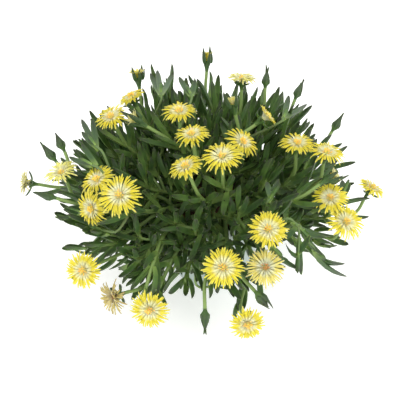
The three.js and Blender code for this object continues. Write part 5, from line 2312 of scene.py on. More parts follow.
@dataclass(frozen=True)
class StrandForm:
    """A petal, pale thread or stamen of unit length and width along +X, its face towards +Z.

    heart is 1 for what belongs to the heart of the bloom, and 0 for what wears the petals' skin.
    """

    arch: float = 0.15
    droop: float = 0.15
    shares: tuple[float, ...] = (0.0, 0.2, 0.45, 0.72, 0.93)
    widths: tuple[float, ...] = (0.75, 0.95, 1.05, 1.0, 0.8)
    heights: tuple[float, ...] = (0.03, 0.0, 0.03, -0.02)
    heart: float = 0.0

    ACROSS = (-0.5, 0.0, 0.5, 0.0)

    def mesh(self, name: str) -> bpy.types.Mesh:
        """Build the strand.

        Args:
            name: the mesh's name.

        Returns:
            The mesh, with the numbers along and heart.
        """
        share = np.array([*self.shares, 1.0])[:, None]
        width = np.array([*self.widths, 0.0])[:, None]
        y = np.array(self.ACROSS) * width
        bow = self.arch * np.sin(math.pi * share) - self.droop * share**2
        z = bow + np.array(self.heights) * width
        corners = np.stack([share + 0 * y, y, z], axis=-1) / METRES
        along = np.append(np.repeat(self.shares, len(self.ACROSS)), 1.0)
        heart = np.full(len(along), self.heart)
        return skin_form(name, corners[:-1], corners[-1, 0], along=along, heart=heart)


def gather_forms(name: str, meshes: Sequence[bpy.types.Mesh]) -> bpy.types.Collection:
    """Put meshes in a collection from which a tree picks them by number.

    Args:
        name: the collection's name.
        meshes: the forms, in the order of their numbers.

    Returns:
        The collection, which isn't part of the scene.
    """
    collection = bpy.data.collections.new(name)
    for number, mesh in enumerate(meshes):
        collection.objects.link(bpy.data.objects.new(f"{name}_{number:02d}", mesh))
    return collection


class GrowthTree:
    """A geometry node tree with named inputs."""

    def __init__(self, name: str, inputs: dict[str, Any]) -> None:
        """Start the tree.

        Args:
            name: the tree's name.
            inputs: for each input its usual number, or "Geometry", "Collection" or "Material".
        """
        self.tree = bpy.data.node_groups.new(name, "GeometryNodeTree")
        self.ids: dict[str, str] = {}
        face = self.tree.interface
        for label, usual in inputs.items():
            kind = usual if isinstance(usual, str) else type(usual).__name__.capitalize()
            socket = face.new_socket(label, in_out="INPUT", socket_type=f"NodeSocket{kind}")
            if kind != usual:
                socket.default_value = usual
            self.ids[label] = socket.identifier
        face.new_socket("Geometry", in_out="OUTPUT", socket_type="NodeSocketGeometry")
        self.given = self.tree.nodes.new("NodeGroupInput").outputs
        self.add: Adder = partial(add_node, self.tree)

    def set_forms(self, points: Socket, form: Socket, turn: Socket, size: Socket) -> Socket:
        """Set the forms of the input Forms on points.

        Args:
            points: the points.
            form: the number of the form on each.
            turn: its turn as Euler angles.
            size: its size.

        Returns:
            The instances.
        """
        kept = {"Collection": self.given["Forms"], "Separate Children": True, "Reset Children": True}
        forms = self.add("GeometryNodeCollectionInfo", kept)
        rotation = self.add("FunctionNodeEulerToRotation", {0: turn})
        return self.add("GeometryNodeInstanceOnPoints", {
            "Points": points, "Instance": forms, "Pick Instance": True, "Instance Index": form,
            "Rotation": rotation, "Scale": size,
        })  # fmt: skip

    def end(self, parts: list[Socket], skins: dict[str, Socket | bool]) -> None:
        """End the tree: join its parts, make them real and dress them.

        Args:
            parts: the geometry.
            skins: for each material input the faces that wear it.
        """
        joined = self.add("GeometryNodeJoinGeometry", {0: parts})
        grown = self.add("GeometryNodeRealizeInstances", {"Geometry": joined})
        for skin, where in skins.items():
            dress = {"Geometry": grown, "Selection": where, "Material": self.given[skin]}
            grown = self.add("GeometryNodeSetMaterial", dress)
        self.tree.links.new(grown, self.tree.nodes.new("NodeGroupOutput").inputs[0])

    def grow(self, base: bpy.types.Mesh, values: dict[str, Any]) -> bpy.types.Mesh:
        """Run the tree on a mesh.

        Args:
            base: what the growth starts from.
            values: the inputs by name.

        Returns:
            The result as a plain mesh.
        """
        carrier = bpy.data.objects.new("growing", base)
        bpy.context.scene.collection.objects.link(carrier)
        modifier = carrier.modifiers.new("growth", "NODES")
        modifier.node_group = self.tree
        for label, value in values.items():
            modifier[self.ids[label]] = value
        depsgraph = bpy.context.evaluated_depsgraph_get()
        grown = bpy.data.meshes.new_from_object(
            carrier.evaluated_get(depsgraph), preserve_all_data_layers=True, depsgraph=depsgraph
        )
        carrier.modifiers.remove(modifier)
        bpy.data.objects.remove(carrier)
        if grown.materials and grown.materials[0] is None:
            grown.materials.pop(index=0)
        return grown


def add_piece(name: str, mesh: bpy.types.Mesh, node: str) -> None:
    """Put a finished mesh in the scene in the place of its node.

    Args:
        name: the piece's name.
        mesh: its mesh, in its final place.
        node: the node that it stands for.
    """
    piece = bpy.data.objects.new(name, mesh)
    bpy.context.scene.collection.objects.link(piece)
    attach(piece, "root")
    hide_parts(node)
    triangles = sum(len(polygon.vertices) - 2 for polygon in mesh.polygons)
    log.info("%s: %d triangles", name, triangles)


@dataclass
class Sprout:
    """A leaf, cup or bud to be set: its place, the three directions of its form, and its size."""

    place: Vec
    side: Vec
    face: Vec
    axis: Vec
    size: tuple[float, float, float]
    form: int
    shade: float

    @property
    def turn(self) -> tuple[float, float, float]:
        """Give the form's turn as Euler angles."""
        columns = np.stack([self.side, self.face, self.axis], axis=1)
        return tuple(Matrix(columns.tolist()).to_euler())


class GreenForm(Enum):
    """The green forms, in the order of their numbers."""

    LEAF = 0
    LEAF_STRAIGHT = 1
    LEAF_CURLED = 2
    LEAF_SWUNG = 3
    LEAF_HOOKED = 4
    LEAF_BENT = 5
    LEAF_SICKLE = 6
    SEPAL = 7
    HORN = 8
    SCALE = 9
    CUP = 10
    FUNNEL = 11
    BUD = 12


@dataclass(frozen=True)
class Row:
    """Sepals or young leaves in a row round a stem's head.

    angles are where they stand in quarter turns, root is how far out and how far above the seat
    they are rooted, and lean is how many degrees they lean out, or nothing where they stand
    round the petals.
    """

    form: GreenForm
    angles: tuple[float, ...]
    root: Place
    size: tuple[float, float, float]
    lean: float | None = None


@dataclass
class Foliage:
    """The leafy branches: stems, leaves, cups and buds, one piece for each branch.

    An age is a stem's start in the colours from woody to young, and what is added towards its
    end. hem_height and hem_upright are the height and the rise below which a leaf hangs, and
    full_size is how much a leaf keeps of its length, as the least and the range.
    low_right and low_left bound the lower parts of the view, where leaves end nearer to the
    outline: overhang is how far a leaf may end past it, and least_share the share of its length
    that it keeps at least, each for those parts and for the rest.
    """

    stem_sides: int = 7
    stem_step: float = 4.0
    foot_depth: float = 12.65
    foot_bend: float = 4.0
    trunk_radius: float = Layout.main_radius
    trunk_narrowing: float = 0.1
    tapering: float = 1.5
    side_age: Place = (0.35, 0.6)
    trail_age: Place = (0.12, 0.1)
    root_inset: float = 0.6
    stem_inset: float = 1.6
    young_leaf: float = 0.42
    young_width: float = 1.4
    stalk_end: float = 1.65
    swell: float = 0.25
    hem_height: float = 85.0
    hem_upright: float = 0.35
    full_size: Place = (0.8, 0.18)
    hanging_less: float = 0.14
    low_right: Place = (290.0, 222.0)
    low_left: Place = (112.0, 203.0)
    shoot_end: float = 12.0
    overhang: Place = (0.05, 0.22)
    least_share: Place = (0.55, 0.66)
    dark_tone: float = -0.12
    ripe_tone: float = 0.0
    tones: float = 0.45
    bright_tone: float = 0.4
    bright_from: float = 0.94
    lean_varying: float = 8.0
    size_varying: float = 0.15
    cup_lean: tuple[float, float, float] = (4.0, 88.0, 0.8)
    leaf: LeafFinish = field(default_factory=LeafFinish)
    stem: StemFinish = field(default_factory=StemFinish)

    LEAF_KEY, HEAD_KEY = 31, 17
    SHRINKS = (1.0, 0.9, 0.8, 0.7)
    UPRIGHT = (
        GreenForm.LEAF, GreenForm.LEAF_STRAIGHT, GreenForm.LEAF_CURLED, GreenForm.LEAF_SWUNG,
        GreenForm.LEAF, GreenForm.LEAF_BENT,
    )  # fmt: skip
    HANGING = (
        GreenForm.LEAF_CURLED, GreenForm.LEAF_HOOKED, GreenForm.LEAF_HOOKED, GreenForm.LEAF_SICKLE,
    )  # fmt: skip
    HEADS = {
        Kind.BLOOM: (
            GreenForm.CUP,
            Row(GreenForm.SEPAL, (0.5, 2.5), (3.4, -1.6), (1, 1, 0.95), 74),
            Row(GreenForm.SEPAL, (1.5, 3.5), (3.4, -1.6), (1, 1, 0.7), 78),
        ),
        Kind.TUFT: (
            GreenForm.FUNNEL,
            Row(GreenForm.HORN, (0.5, 2.5), (3.6, 1.0), (1.1, 1.1, 1.05)),
            Row(GreenForm.HORN, (1.3, 1.9, 3.5), (3.6, 1.0), (0.95, 1.0, 0.8)),
        ),
        Kind.BUD: (
            GreenForm.BUD,
            Row(GreenForm.SCALE, (0.5, 2.5), (2.2, -3.2), (1.0, 1.0, 1.1), -1),
            Row(GreenForm.SCALE, (1.5, 3.5), (2.2, -3.2), (0.85, 0.9, 0.86), -2),
        ),
    }

    def __post_init__(self) -> None:
        """Make the forms, the finishes and the tree."""
        self.forms = gather_forms("green_form", self.form_meshes())
        self.skins = {"Leaf Skin": self.leaf.material(), "Stem Skin": self.stem.material()}
        self.tree = self.make_tree()

    def form_meshes(self) -> list[bpy.types.Mesh]:
        """Build the green forms.

        Returns:
            The meshes in the order of GreenForm.
        """
        cup = (
            (1.6, -8.4, 0.2), (2.0, -5.6, 0.3), (3.3, -3.0, 0.4), (4.4, -1.0, 0.5), (4.5, 0.0, 0.6),
        )  # fmt: skip
        funnel = (
            (1.6, -8.4, 0.25), (1.9, -6.0, 0.3), (2.6, -3.0, 0.4), (3.6, 0.0, 0.5), (4.4, 3.0, 0.6),
        )  # fmt: skip
        bud = (
            (1.6, -8.0, 0.3), (2.1, -5.6, 0.4), (4.3, -2.8, 0.68), (4.2, -0.4, 0.8), (2.9, 3.2, 0.95),
            (1.8, 6.4, 1.0),
        )  # fmt: skip
        pointed = (0.75, 0.95, 1.0, 0.8, 0.52, 0.32, 0.16)
        bellied = (0.3, 0.8, 1.0, 0.62, 0.36, 0.25, 0.16)
        forms = {
            GreenForm.LEAF: LeafForm(),
            GreenForm.LEAF_STRAIGHT: LeafForm(curl=0.03),
            GreenForm.LEAF_CURLED: LeafForm(curl=0.19, aside=1.5),
            GreenForm.LEAF_SWUNG: LeafForm(curl=0.08, aside=-3.5),
            GreenForm.LEAF_HOOKED: LeafForm(curl=0.27, aside=3.0),
            GreenForm.LEAF_BENT: LeafForm(curl=-0.05, aside=2.0),
            GreenForm.LEAF_SICKLE: LeafForm(curl=SICKLE, aside=-1.5),
            GreenForm.SEPAL: LeafForm(length=10, width=4.0, keel=1.6, curl=0.12),
            GreenForm.HORN: LeafForm(15, 4.6, 2.4, 0.06, widths=pointed, depths=pointed, ripe=0.58),
            GreenForm.SCALE: LeafForm(16, 6.6, 3.0, 0.14, widths=bellied, depths=bellied, ripe=0.66),
            GreenForm.CUP: TurnedForm(cup),
            GreenForm.FUNNEL: TurnedForm(funnel, sides=8, ridge=0.12),
            GreenForm.BUD: TurnedForm(bud, sides=8, ridge=0.14, tip=(9.0, 1.0)),
        }
        return [forms[kind].mesh(kind.name.lower()) for kind in GreenForm]

    def make_tree(self) -> GrowthTree:
        """Build the tree that runs stems along lines and sets the forms on points.

        Returns:
            The tree.
        """
        tree = GrowthTree("leafy_branch", {
            "Geometry": "Geometry", "Forms": "Collection", "Stem Sides": self.stem_sides,
            "Leaf Skin": "Material", "Stem Skin": "Material",
        })  # fmt: skip
        given, add = tree.given, tree.add
        form, turn, size, girth, is_stem = (
            add("GeometryNodeInputNamedAttribute", {"Name": name}, data_type=kind)
            for name, kind in (
                ("form", "INT"), ("turn", "FLOAT_VECTOR"), ("size", "FLOAT_VECTOR"), ("girth", "FLOAT"),
                ("is_stem", "BOOLEAN"),
            )
        )  # fmt: skip
        lines = add("GeometryNodeMeshToCurve", {0: given["Geometry"]})
        circle = {"Resolution": given["Stem Sides"], "Radius": 1.0}
        ring = add("GeometryNodeCurvePrimitiveCircle", circle)
        course = {"Curve": lines, "Profile Curve": ring, "Scale": girth, "Fill Caps": True}
        stems = add("GeometryNodeSetShadeSmooth", {"Geometry": add("GeometryNodeCurveToMesh", course)})
        mark = {"Geometry": stems, "Name": "is_stem", "Value": True}
        marked = add("GeometryNodeStoreNamedAttribute", mark, data_type="BOOLEAN", domain="FACE")
        least = {2: form, 3: GreenForm.LEAF.value}
        is_sprout = add("FunctionNodeCompare", least, data_type="INT", operation="GREATER_EQUAL")
        points = add("GeometryNodeMeshToPoints", {"Mesh": given["Geometry"], "Selection": is_sprout})
        sprouts = tree.set_forms(points, form, turn, size)
        tree.end([sprouts, marked], {"Leaf Skin": True, "Stem Skin": is_stem})
        return tree

    def dress(self, branch: Branch) -> None:
        """Build the piece of one branch.

        Args:
            branch: its layout.
        """
        sprouts = [sprout for stem in branch.stems for sprout in self.sprouts_of(stem)]
        base = self.base_mesh(self.stem_lines(branch), sprouts)
        values = {"Forms": self.forms, "Stem Sides": self.stem_sides, **self.skins}
        grown = self.tree.grow(base, values)
        name = f"branch_{branch.index + 1:02d}"
        add_piece(f"grown_{name}", grown, name)

    def stem_lines(self, branch: Branch) -> list[tuple[np.ndarray, np.ndarray, np.ndarray]]:
        """Give the lines that stems follow.

        Args:
            branch: the branch's layout.

        Returns:
            For each stem its points, its radius there, and how far from the root it is.
        """
        main, root = branch.stems[0], branch.root
        foot = np.array([root - UP * self.foot_depth, root - UP * self.foot_bend, root])
        trunk = branch.trunk.points(self.shares(branch.trunk))
        first = main.path.points(self.shares(main.path)[1:])
        points = np.vstack([foot, trunk, first])
        rise = len(foot) + len(trunk)
        end = main.radius if main.leafy else self.stalk_end
        above = self.taper(self.trunk_radius - self.trunk_narrowing, end, len(first))
        radii = np.concatenate([np.full(rise, self.trunk_radius), above])
        lines = [(points, radii, self.ages(points))]
        for stem in branch.stems[1:]:
            along = stem.path.points(self.shares(stem.path))
            inset = along[0] - stem.path.tangents(0.0) * self.stem_inset
            points = np.vstack([inset, along])
            end = stem.radius if stem.leafy else self.stalk_end
            foot, rise = self.trail_age if stem.tip.kind is Kind.TRAIL else self.side_age
            radii = self.taper(end + self.swell, end, len(points))
            lines.append((points, radii, foot + rise * self.ages(points)))
        return lines

    def shares(self, path: Path) -> np.ndarray:
        """Give shares of a path's length about one step apart."""
        return np.linspace(0, 1, max(3, math.ceil(path.length / self.stem_step)))

    def taper(self, start: float, end: float, count: int) -> np.ndarray:
        """Give radii that go from one to another, which they reach part of the way along."""
        way = np.arange(count) / max(1, count - 1) * self.tapering
        return start + (end - start) * np.minimum(1, way)

    @staticmethod
    def ages(points: np.ndarray) -> np.ndarray:
        """Give the share of the way along a line for each of its points."""
        steps = np.diff(points, axis=0, prepend=points[:1])
        way = np.cumsum(np.sqrt(np.sum(steps**2, axis=1)))
        return way / way[-1]

    def sprouts_of(self, stem: Stem) -> list[Sprout]:
        """Give all that is set on a stem: leaves, and its cup, bud or young leaves.

        Args:
            stem: the stem's layout.

        Returns:
            The sprouts.
        """
        leaves = [self.leaf_sprout(stem, number, leaf) for number, leaf in enumerate(stem.leaves)]
        return leaves + self.head_sprouts(stem)

    def leaf_sprout(self, stem: Stem, number: int, leaf: Leaf) -> Sprout:
        """Give the sprout of a leaf.

        Args:
            stem: the leaf's stem.
            number: the leaf's number on it.
            leaf: the leaf's layout.

        Returns:
            The sprout.
        """
        key = stem.key * self.LEAF_KEY + number
        size = leaf.length / Layout.leaf_length
        if stem.tip.kind is Kind.TRAIL:
            form = GreenForm.LEAF_SICKLE if leaf.curl == SICKLE else GreenForm.LEAF
            tone = self.dark_tone
        else:
            hangs = leaf.point(1.0)[2] < self.hem_height and leaf.axis[2] < self.hem_upright
            forms = self.HANGING if hangs else self.UPRIGHT
            form, tone = forms[int(draw(key, Chance.FORM) * len(forms))], self.shade(key)
            least, more = (1.0, 0.0) if stem.tip.kind is Kind.SHOOT else self.full_size
            shorter = (least + more * draw(key, Chance.SHORTENING)) - self.hanging_less * hangs
            size *= shorter * self.within_outline(stem, leaf, shorter)
        sizes = (leaf.width / Layout.leaf_width, leaf.keel / Layout.leaf_keel, size)
        place = leaf.root - leaf.axis * self.root_inset
        side = np.cross(leaf.face, leaf.axis)
        return Sprout(place, side, leaf.face, leaf.axis, sizes, form.value, tone)

    def within_outline(self, stem: Stem, leaf: Leaf, size: float) -> float:
        """Give how much a leaf shrinks so that it ends near the plant's outline in the view.

        Args:
            stem: the leaf's stem.
            leaf: the leaf's layout.
            size: its length as a share of the layout's.

        Returns:
            The share of its length that is left.
        """
        left, top = VIEW.place_of(leaf.point(1.0))
        is_low = left > self.low_right[0] and top > self.low_right[1]
        is_low = is_low or (left < self.low_left[0] and top > self.low_left[1])
        at_end = leaf.reach > stem.path.length - self.shoot_end
        if stem.tip.kind is Kind.SHOOT and at_end and not is_low:
            return 1.0
        where = 0 if is_low else 1
        for share in self.SHRINKS:
            end = leaf.point(size * share - self.overhang[where])
            if inside_outline(*VIEW.place_of(end)):
                return share
        return self.least_share[where]

    def shade(self, key: int) -> float:
        """Give a leaf's own tone, which makes a few of them bright."""
        bright = self.bright_tone if draw(key, Chance.BRIGHTNESS) > self.bright_from else 0.0
        return self.tones * draw(key, Chance.TONE) + bright

    def spread(self, stem: Stem, row: Row) -> list[Sprout]:
        """Set a row of forms round the axis of a stem's head.

        Args:
            stem: the stem.
            row: the forms, their places, their lean and their size.

        Returns:
            The sprouts.
        """
        head, form, lean = stem.head, row.form, row.lean
        if lean is None:
            least, upright, share = self.cup_lean
            lean = max(least, upright - stem.tip.spot.cup) * share
        found = []
        for number, angle in enumerate(row.angles):
            key = stem.key * self.HEAD_KEY + number
            out = head.side(angle)
            tilt = math.radians(lean + self.lean_varying * sway(key, Chance.HEAD_LEAN))
            axis = head.axis * math.cos(tilt) + out * math.sin(tilt)
            face = square_to(axis, -out)
            place = head.centre + out * row.root[0] + head.axis * row.root[1]
            length = row.size[2] * (1 + self.size_varying * sway(key, Chance.HEAD_SIZE))
            tone = self.ripe_tone if form in (GreenForm.HORN, GreenForm.SCALE) else self.shade(key)
            size = (row.size[0], row.size[1], length)
            found.append(Sprout(place, np.cross(face, axis), face, axis, size, form.value, tone))
        return found

    def head_sprouts(self, stem: Stem) -> list[Sprout]:
        """Give what ends a stem.

        Args:
            stem: the stem.

        Returns:
            The cup or bud and its sepals, two long and two or three short, or the pair of young
            leaves of a shoot.
        """
        if stem.tip.kind not in self.HEADS:
            start = 0.0 if stem.rings and len(stem.leaves) % 4 else 1.0
            size = (self.young_leaf * self.young_width, self.young_leaf, self.young_leaf)
            pair = Row(GreenForm.LEAF_STRAIGHT, (start, start + 2), (0.6, -1.5), size, 9)
            return self.spread(stem, pair)
        form, *rows = self.HEADS[stem.tip.kind]
        head, tone = stem.head, self.shade(stem.key)
        cup = Sprout(head.centre, head.east, head.north, head.axis, (1, 1, 1), form.value, tone)
        return [cup] + [sepal for row in rows for sepal in self.spread(stem, row)]

    def base_mesh(
        self, lines: list[tuple[np.ndarray, np.ndarray, np.ndarray]], sprouts: list[Sprout]
    ) -> bpy.types.Mesh:
        """Make the mesh that the tree starts from: stem lines, and a loose point for each sprout.

        Args:
            lines: points, radii and ages of each stem.
            sprouts: what is set on them.

        Returns:
            The mesh.
        """
        points, radii, ages = (np.concatenate(column) for column in zip(*lines))
        ends = np.cumsum([len(line[0]) for line in lines]) - 1
        edges = [(number, number + 1) for number in range(len(points) - 1) if number not in ends]
        mesh = bpy.data.meshes.new("branch_lines")
        corners = np.vstack([points, [sprout.place for sprout in sprouts]])
        mesh.from_pydata((corners * METRES).tolist(), edges, [])
        blank, lead = np.zeros(len(sprouts)), np.zeros(len(points))
        set_numbers(
            mesh,
            girth=np.append(radii, blank) * METRES,
            along=np.append(ages, blank),
            form=np.append(lead - 1, [s.form for s in sprouts]).astype(int),
            shade=np.append(lead, [s.shade for s in sprouts]),
            turn=np.vstack([np.zeros((len(lead), 3)), [s.turn for s in sprouts]]),
            size=np.vstack([np.ones((len(lead), 3)), [s.size for s in sprouts]]),
        )
        return mesh


class BloomForm(Enum):
    """The forms of a bloom, in the order of their numbers."""

    STRAP = 0
    STRAP_DROOPED = 1
    STRAP_RISEN = 2
    FILAMENT = 3
    STAMEN = 4


@dataclass
class Blooms:
    """The open and half-open blooms: whorls of petals, pale threads and stamens."""

    petals: int = 52
    tuft_petals: int = 36
    petal_width: float = 1.55
    hub: float = 2.6
    tuft_hub: float = 2.4
    tuft_radius: float = 3.2
    disc: float = 0.48
    disc_hub: float = 1.6
    filaments: int = 132
    stamens: int = 30
    tuft_stamens: int = 12
    opening: float = 0.09
    tuft_opening: float = 0.05
    sinking: float = 0.02
    angle_varying: float = 0.25
    twist: float = 0.3
    width_varying: float = 0.14

    TIP_SEED, OPEN_SEED = 100, 7
    DRAWS = 5
    # In each petal skin the heart colour is the painted shade at the middle of the bloom
    WEAR = {
        BloomAge.FRESH: Wear(PetalFinish()),
        BloomAge.PALE: Wear(
            PetalFinish("petal_skin_pale", cream="#E9E59C", yellow="#E9DF62", rim="#E2D878"),
            0.13, 1.05, 3.8, 0.1,
        ),
        BloomAge.DULL: Wear(
            PetalFinish(
                "petal_skin_dull", heart="#B9B57C", cream="#C6C284", yellow="#C3B545", rim="#A8923F"
            ),
            0.25, 0.9, 3.0, 0.34, HeartFinish("stamens_browned", pollen="#C98B48", dusk="#9A6230"),
        ),
        BloomAge.FADED: Wear(
            PetalFinish("petal_skin_faded", cream="#D5D69E", yellow="#DFCB5C", rim="#D9C678"),
            0.17, 1.05, 4.4, 0.0, HeartFinish("stamens_spent", pollen="#E3A45A", dusk="#B27038"),
        ),
        BloomAge.WITHERED: Wear(
            PetalFinish(
                "petal_skin_withered", heart="#8F7A4A", cream="#B9A66C", yellow="#B09A4E", rim="#94753C"
            ),
            0.36, 1.15, 3.0, 0.0, HeartFinish("stamens_dried", pollen="#B9783C", dusk="#85562A"),
        ),
    }  # fmt: skip

    def __post_init__(self) -> None:
        """Make the forms, the finishes and the trees."""
        forms = {
            BloomForm.STRAP: StrandForm(),
            BloomForm.STRAP_DROOPED: StrandForm(arch=0.17, droop=0.25),
            BloomForm.STRAP_RISEN: StrandForm(arch=0.12, droop=0.06),
            BloomForm.FILAMENT: StrandForm(0.08, 0.0, (0.0, 0.5, 0.9), (0.5, 1.0, 0.7)),
            BloomForm.STAMEN: StrandForm(
                0.0, 0.0, (0.0, 0.62, 0.74, 0.9), (0.09, 0.072, 0.17, 0.17), (0.0, 0.5, 0.0, -0.5), 1.0
            ),
        }
        meshes = [forms[kind].mesh(kind.name.lower()) for kind in BloomForm]
        self.forms = gather_forms("bloom_form", meshes)
        finishes: dict[str, Finish] = {}
        for wear in self.WEAR.values():
            finishes |= {wear.petals.name: wear.petals, wear.heart.name: wear.heart}
        self.skins = {name: finish.material() for name, finish in finishes.items()}
        self.whorl = self.make_whorl()
        self.tree = self.make_tree()

    def make_whorl(self) -> GrowthTree:
        """Build the tree that sets forms in rows round the Z axis, leaning out.

        Returns:
            The tree.
        """
        tree = GrowthTree("whorl", {
            "Forms": "Collection", "First Form": 0, "Last Form": 2, "Count": 52, "Rows": 3,
            "Hub": 0.0026, "Row Inset": 0.0004, "Row Step": 0.0002, "Length": 0.014,
            "Row Shrink": 0.08, "Unevenness": 0.05, "Width": 0.0016, "Rise": 0.15, "Row Rise": 0.1,
            "Looseness": 0.08, "Seed": SEED,
        })  # fmt: skip
        given, add = tree.given, tree.add
        index = add("GeometryNodeInputIndex")
        row = add("ShaderNodeMath", {0: index, 1: given["Rows"]}, operation="FLOORED_MODULO")
        seeds = [
            add("ShaderNodeMath", {0: given["Seed"], 1: float(number)}) for number in range(self.DRAWS)
        ]
        draws = [
            add("FunctionNodeRandomValue", {2: -1.0, 3: 1.0, "ID": index, "Seed": seed}, 1)
            for seed in seeds
        ]
        pitch = add("ShaderNodeMath", {0: FULL_TURN, 1: given["Count"]}, operation="DIVIDE")
        swung = {0: draws[0], 1: self.angle_varying, 2: index}
        moved = add("ShaderNodeMath", swung, operation="MULTIPLY_ADD")
        angle = add("ShaderNodeMath", {0: moved, 1: pitch}, operation="MULTIPLY")
        inset = add("ShaderNodeMath", {0: row, 1: given["Row Inset"]}, operation="MULTIPLY")
        out = add("ShaderNodeMath", {0: given["Hub"], 1: inset}, operation="SUBTRACT")
        height = add("ShaderNodeMath", {0: row, 1: given["Row Step"]}, operation="MULTIPLY")
        foot = add("ShaderNodeCombineXYZ", {"X": out, "Z": height})
        place = add("ShaderNodeVectorRotate", {"Vector": foot, "Angle": angle}, rotation_type="Z_AXIS")
        rising = {0: row, 1: given["Row Rise"], 2: given["Rise"]}
        rise = add("ShaderNodeMath", rising, operation="MULTIPLY_ADD")
        loosened = {0: draws[1], 1: given["Looseness"], 2: rise}
        loose = add("ShaderNodeMath", loosened, operation="MULTIPLY_ADD")
        dip = add("ShaderNodeMath", {0: loose, 1: -1.0}, operation="MULTIPLY")
        twist = add("ShaderNodeMath", {0: draws[2], 1: self.twist}, operation="MULTIPLY")
        turn = add("ShaderNodeCombineXYZ", {"X": twist, "Y": dip, "Z": angle})
        shrink = add("ShaderNodeMath", {0: row, 1: given["Row Shrink"]}, operation="MULTIPLY")
        left = add("ShaderNodeMath", {0: 1.0, 1: shrink}, operation="SUBTRACT")
        uneven = {0: draws[3], 1: given["Unevenness"], 2: left}
        share = add("ShaderNodeMath", uneven, operation="MULTIPLY_ADD")
        length = add("ShaderNodeMath", {0: share, 1: given["Length"]}, operation="MULTIPLY")
        widened = {0: draws[4], 1: self.width_varying, 2: 1.0}
        wide = add("ShaderNodeMath", widened, operation="MULTIPLY_ADD")
        width = add("ShaderNodeMath", {0: wide, 1: given["Width"]}, operation="MULTIPLY")
        size = add("ShaderNodeCombineXYZ", {"X": length, "Y": width, "Z": length})
        points = add("GeometryNodePoints", {"Count": given["Count"], "Position": place})
        tone = {"Geometry": points, "Name": "shade", "Value": draws[4]}
        toned = add("GeometryNodeStoreNamedAttribute", tone)
        choice = {4: given["First Form"], 5: given["Last Form"], "ID": index, "Seed": given["Seed"]}
        form = add("FunctionNodeRandomValue", choice, 2, data_type="INT")
        tree.end([tree.set_forms(toned, form, turn, size)], {})
        return tree

    def make_tree(self) -> GrowthTree:
        """Build the tree of a whole bloom, which faces +Z with its hub at the origin.

        Returns:
            The tree.
        """
        tree = GrowthTree("bloom", {
            "Geometry": "Geometry", "Forms": "Collection", "Petals": 52, "Petal Length": 0.014,
            "Petal Width": 0.0016, "Hub": 0.0026, "Cup": 0.15, "Opening": 0.1, "Looseness": 0.08,
            "Filaments": 132, "Disc": 0.008, "Stamens": 30, "Stamen Length": 0.005, "Seed": SEED,
            "Petal Skin": "Material", "Heart Skin": "Material",
        })  # fmt: skip
        given, add = tree.given, tree.add
        petals = {
            "First Form": BloomForm.STRAP.value, "Last Form": BloomForm.STRAP_RISEN.value,
            "Count": given["Petals"], "Rows": 3, "Hub": given["Hub"], "Row Inset": 0.4 * METRES,
            "Row Step": 0.2 * METRES, "Length": given["Petal Length"], "Row Shrink": 0.07,
            "Unevenness": 0.05, "Width": given["Petal Width"], "Rise": given["Cup"],
            "Row Rise": given["Opening"], "Looseness": given["Looseness"],
        }  # fmt: skip
        filaments = {
            "First Form": BloomForm.FILAMENT.value, "Last Form": BloomForm.FILAMENT.value,
            "Count": given["Filaments"], "Rows": 2, "Hub": self.disc_hub * METRES,
            "Row Inset": 0.3 * METRES, "Row Step": 0.2 * METRES, "Length": given["Disc"],
            "Row Shrink": 0.16, "Unevenness": 0.12, "Width": 0.8 * METRES,
            "Rise": add("ShaderNodeMath", {0: given["Cup"], 1: 0.16}), "Row Rise": 0.05,
            "Looseness": 0.05,
        }  # fmt: skip
        stamens = {
            "First Form": BloomForm.STAMEN.value, "Last Form": BloomForm.STAMEN.value,
            "Count": given["Stamens"], "Rows": 4, "Hub": 0.9 * METRES, "Row Inset": 0.22 * METRES,
            "Row Step": 0.2 * METRES, "Length": given["Stamen Length"], "Row Shrink": -0.02,
            "Unevenness": 0.24, "Width": given["Stamen Length"], "Rise": 1.0, "Row Rise": 0.17,
            "Looseness": 0.2,
        }  # fmt: skip
        shared = {"Forms": given["Forms"], "Seed": given["Seed"]}
        whorls = [
            add("GeometryNodeGroup", {**shared, **sizes}, node_tree=self.whorl.tree)
            for sizes in (petals, filaments, stamens)
        ]
        heart = add("GeometryNodeInputNamedAttribute", {"Name": "heart"}, data_type="FLOAT")
        is_heart = add("FunctionNodeCompare", {0: heart, 1: 0.5}, operation="GREATER_THAN")
        tree.end([given["Geometry"], *whorls], {"Petal Skin": True, "Heart Skin": is_heart})
        return tree

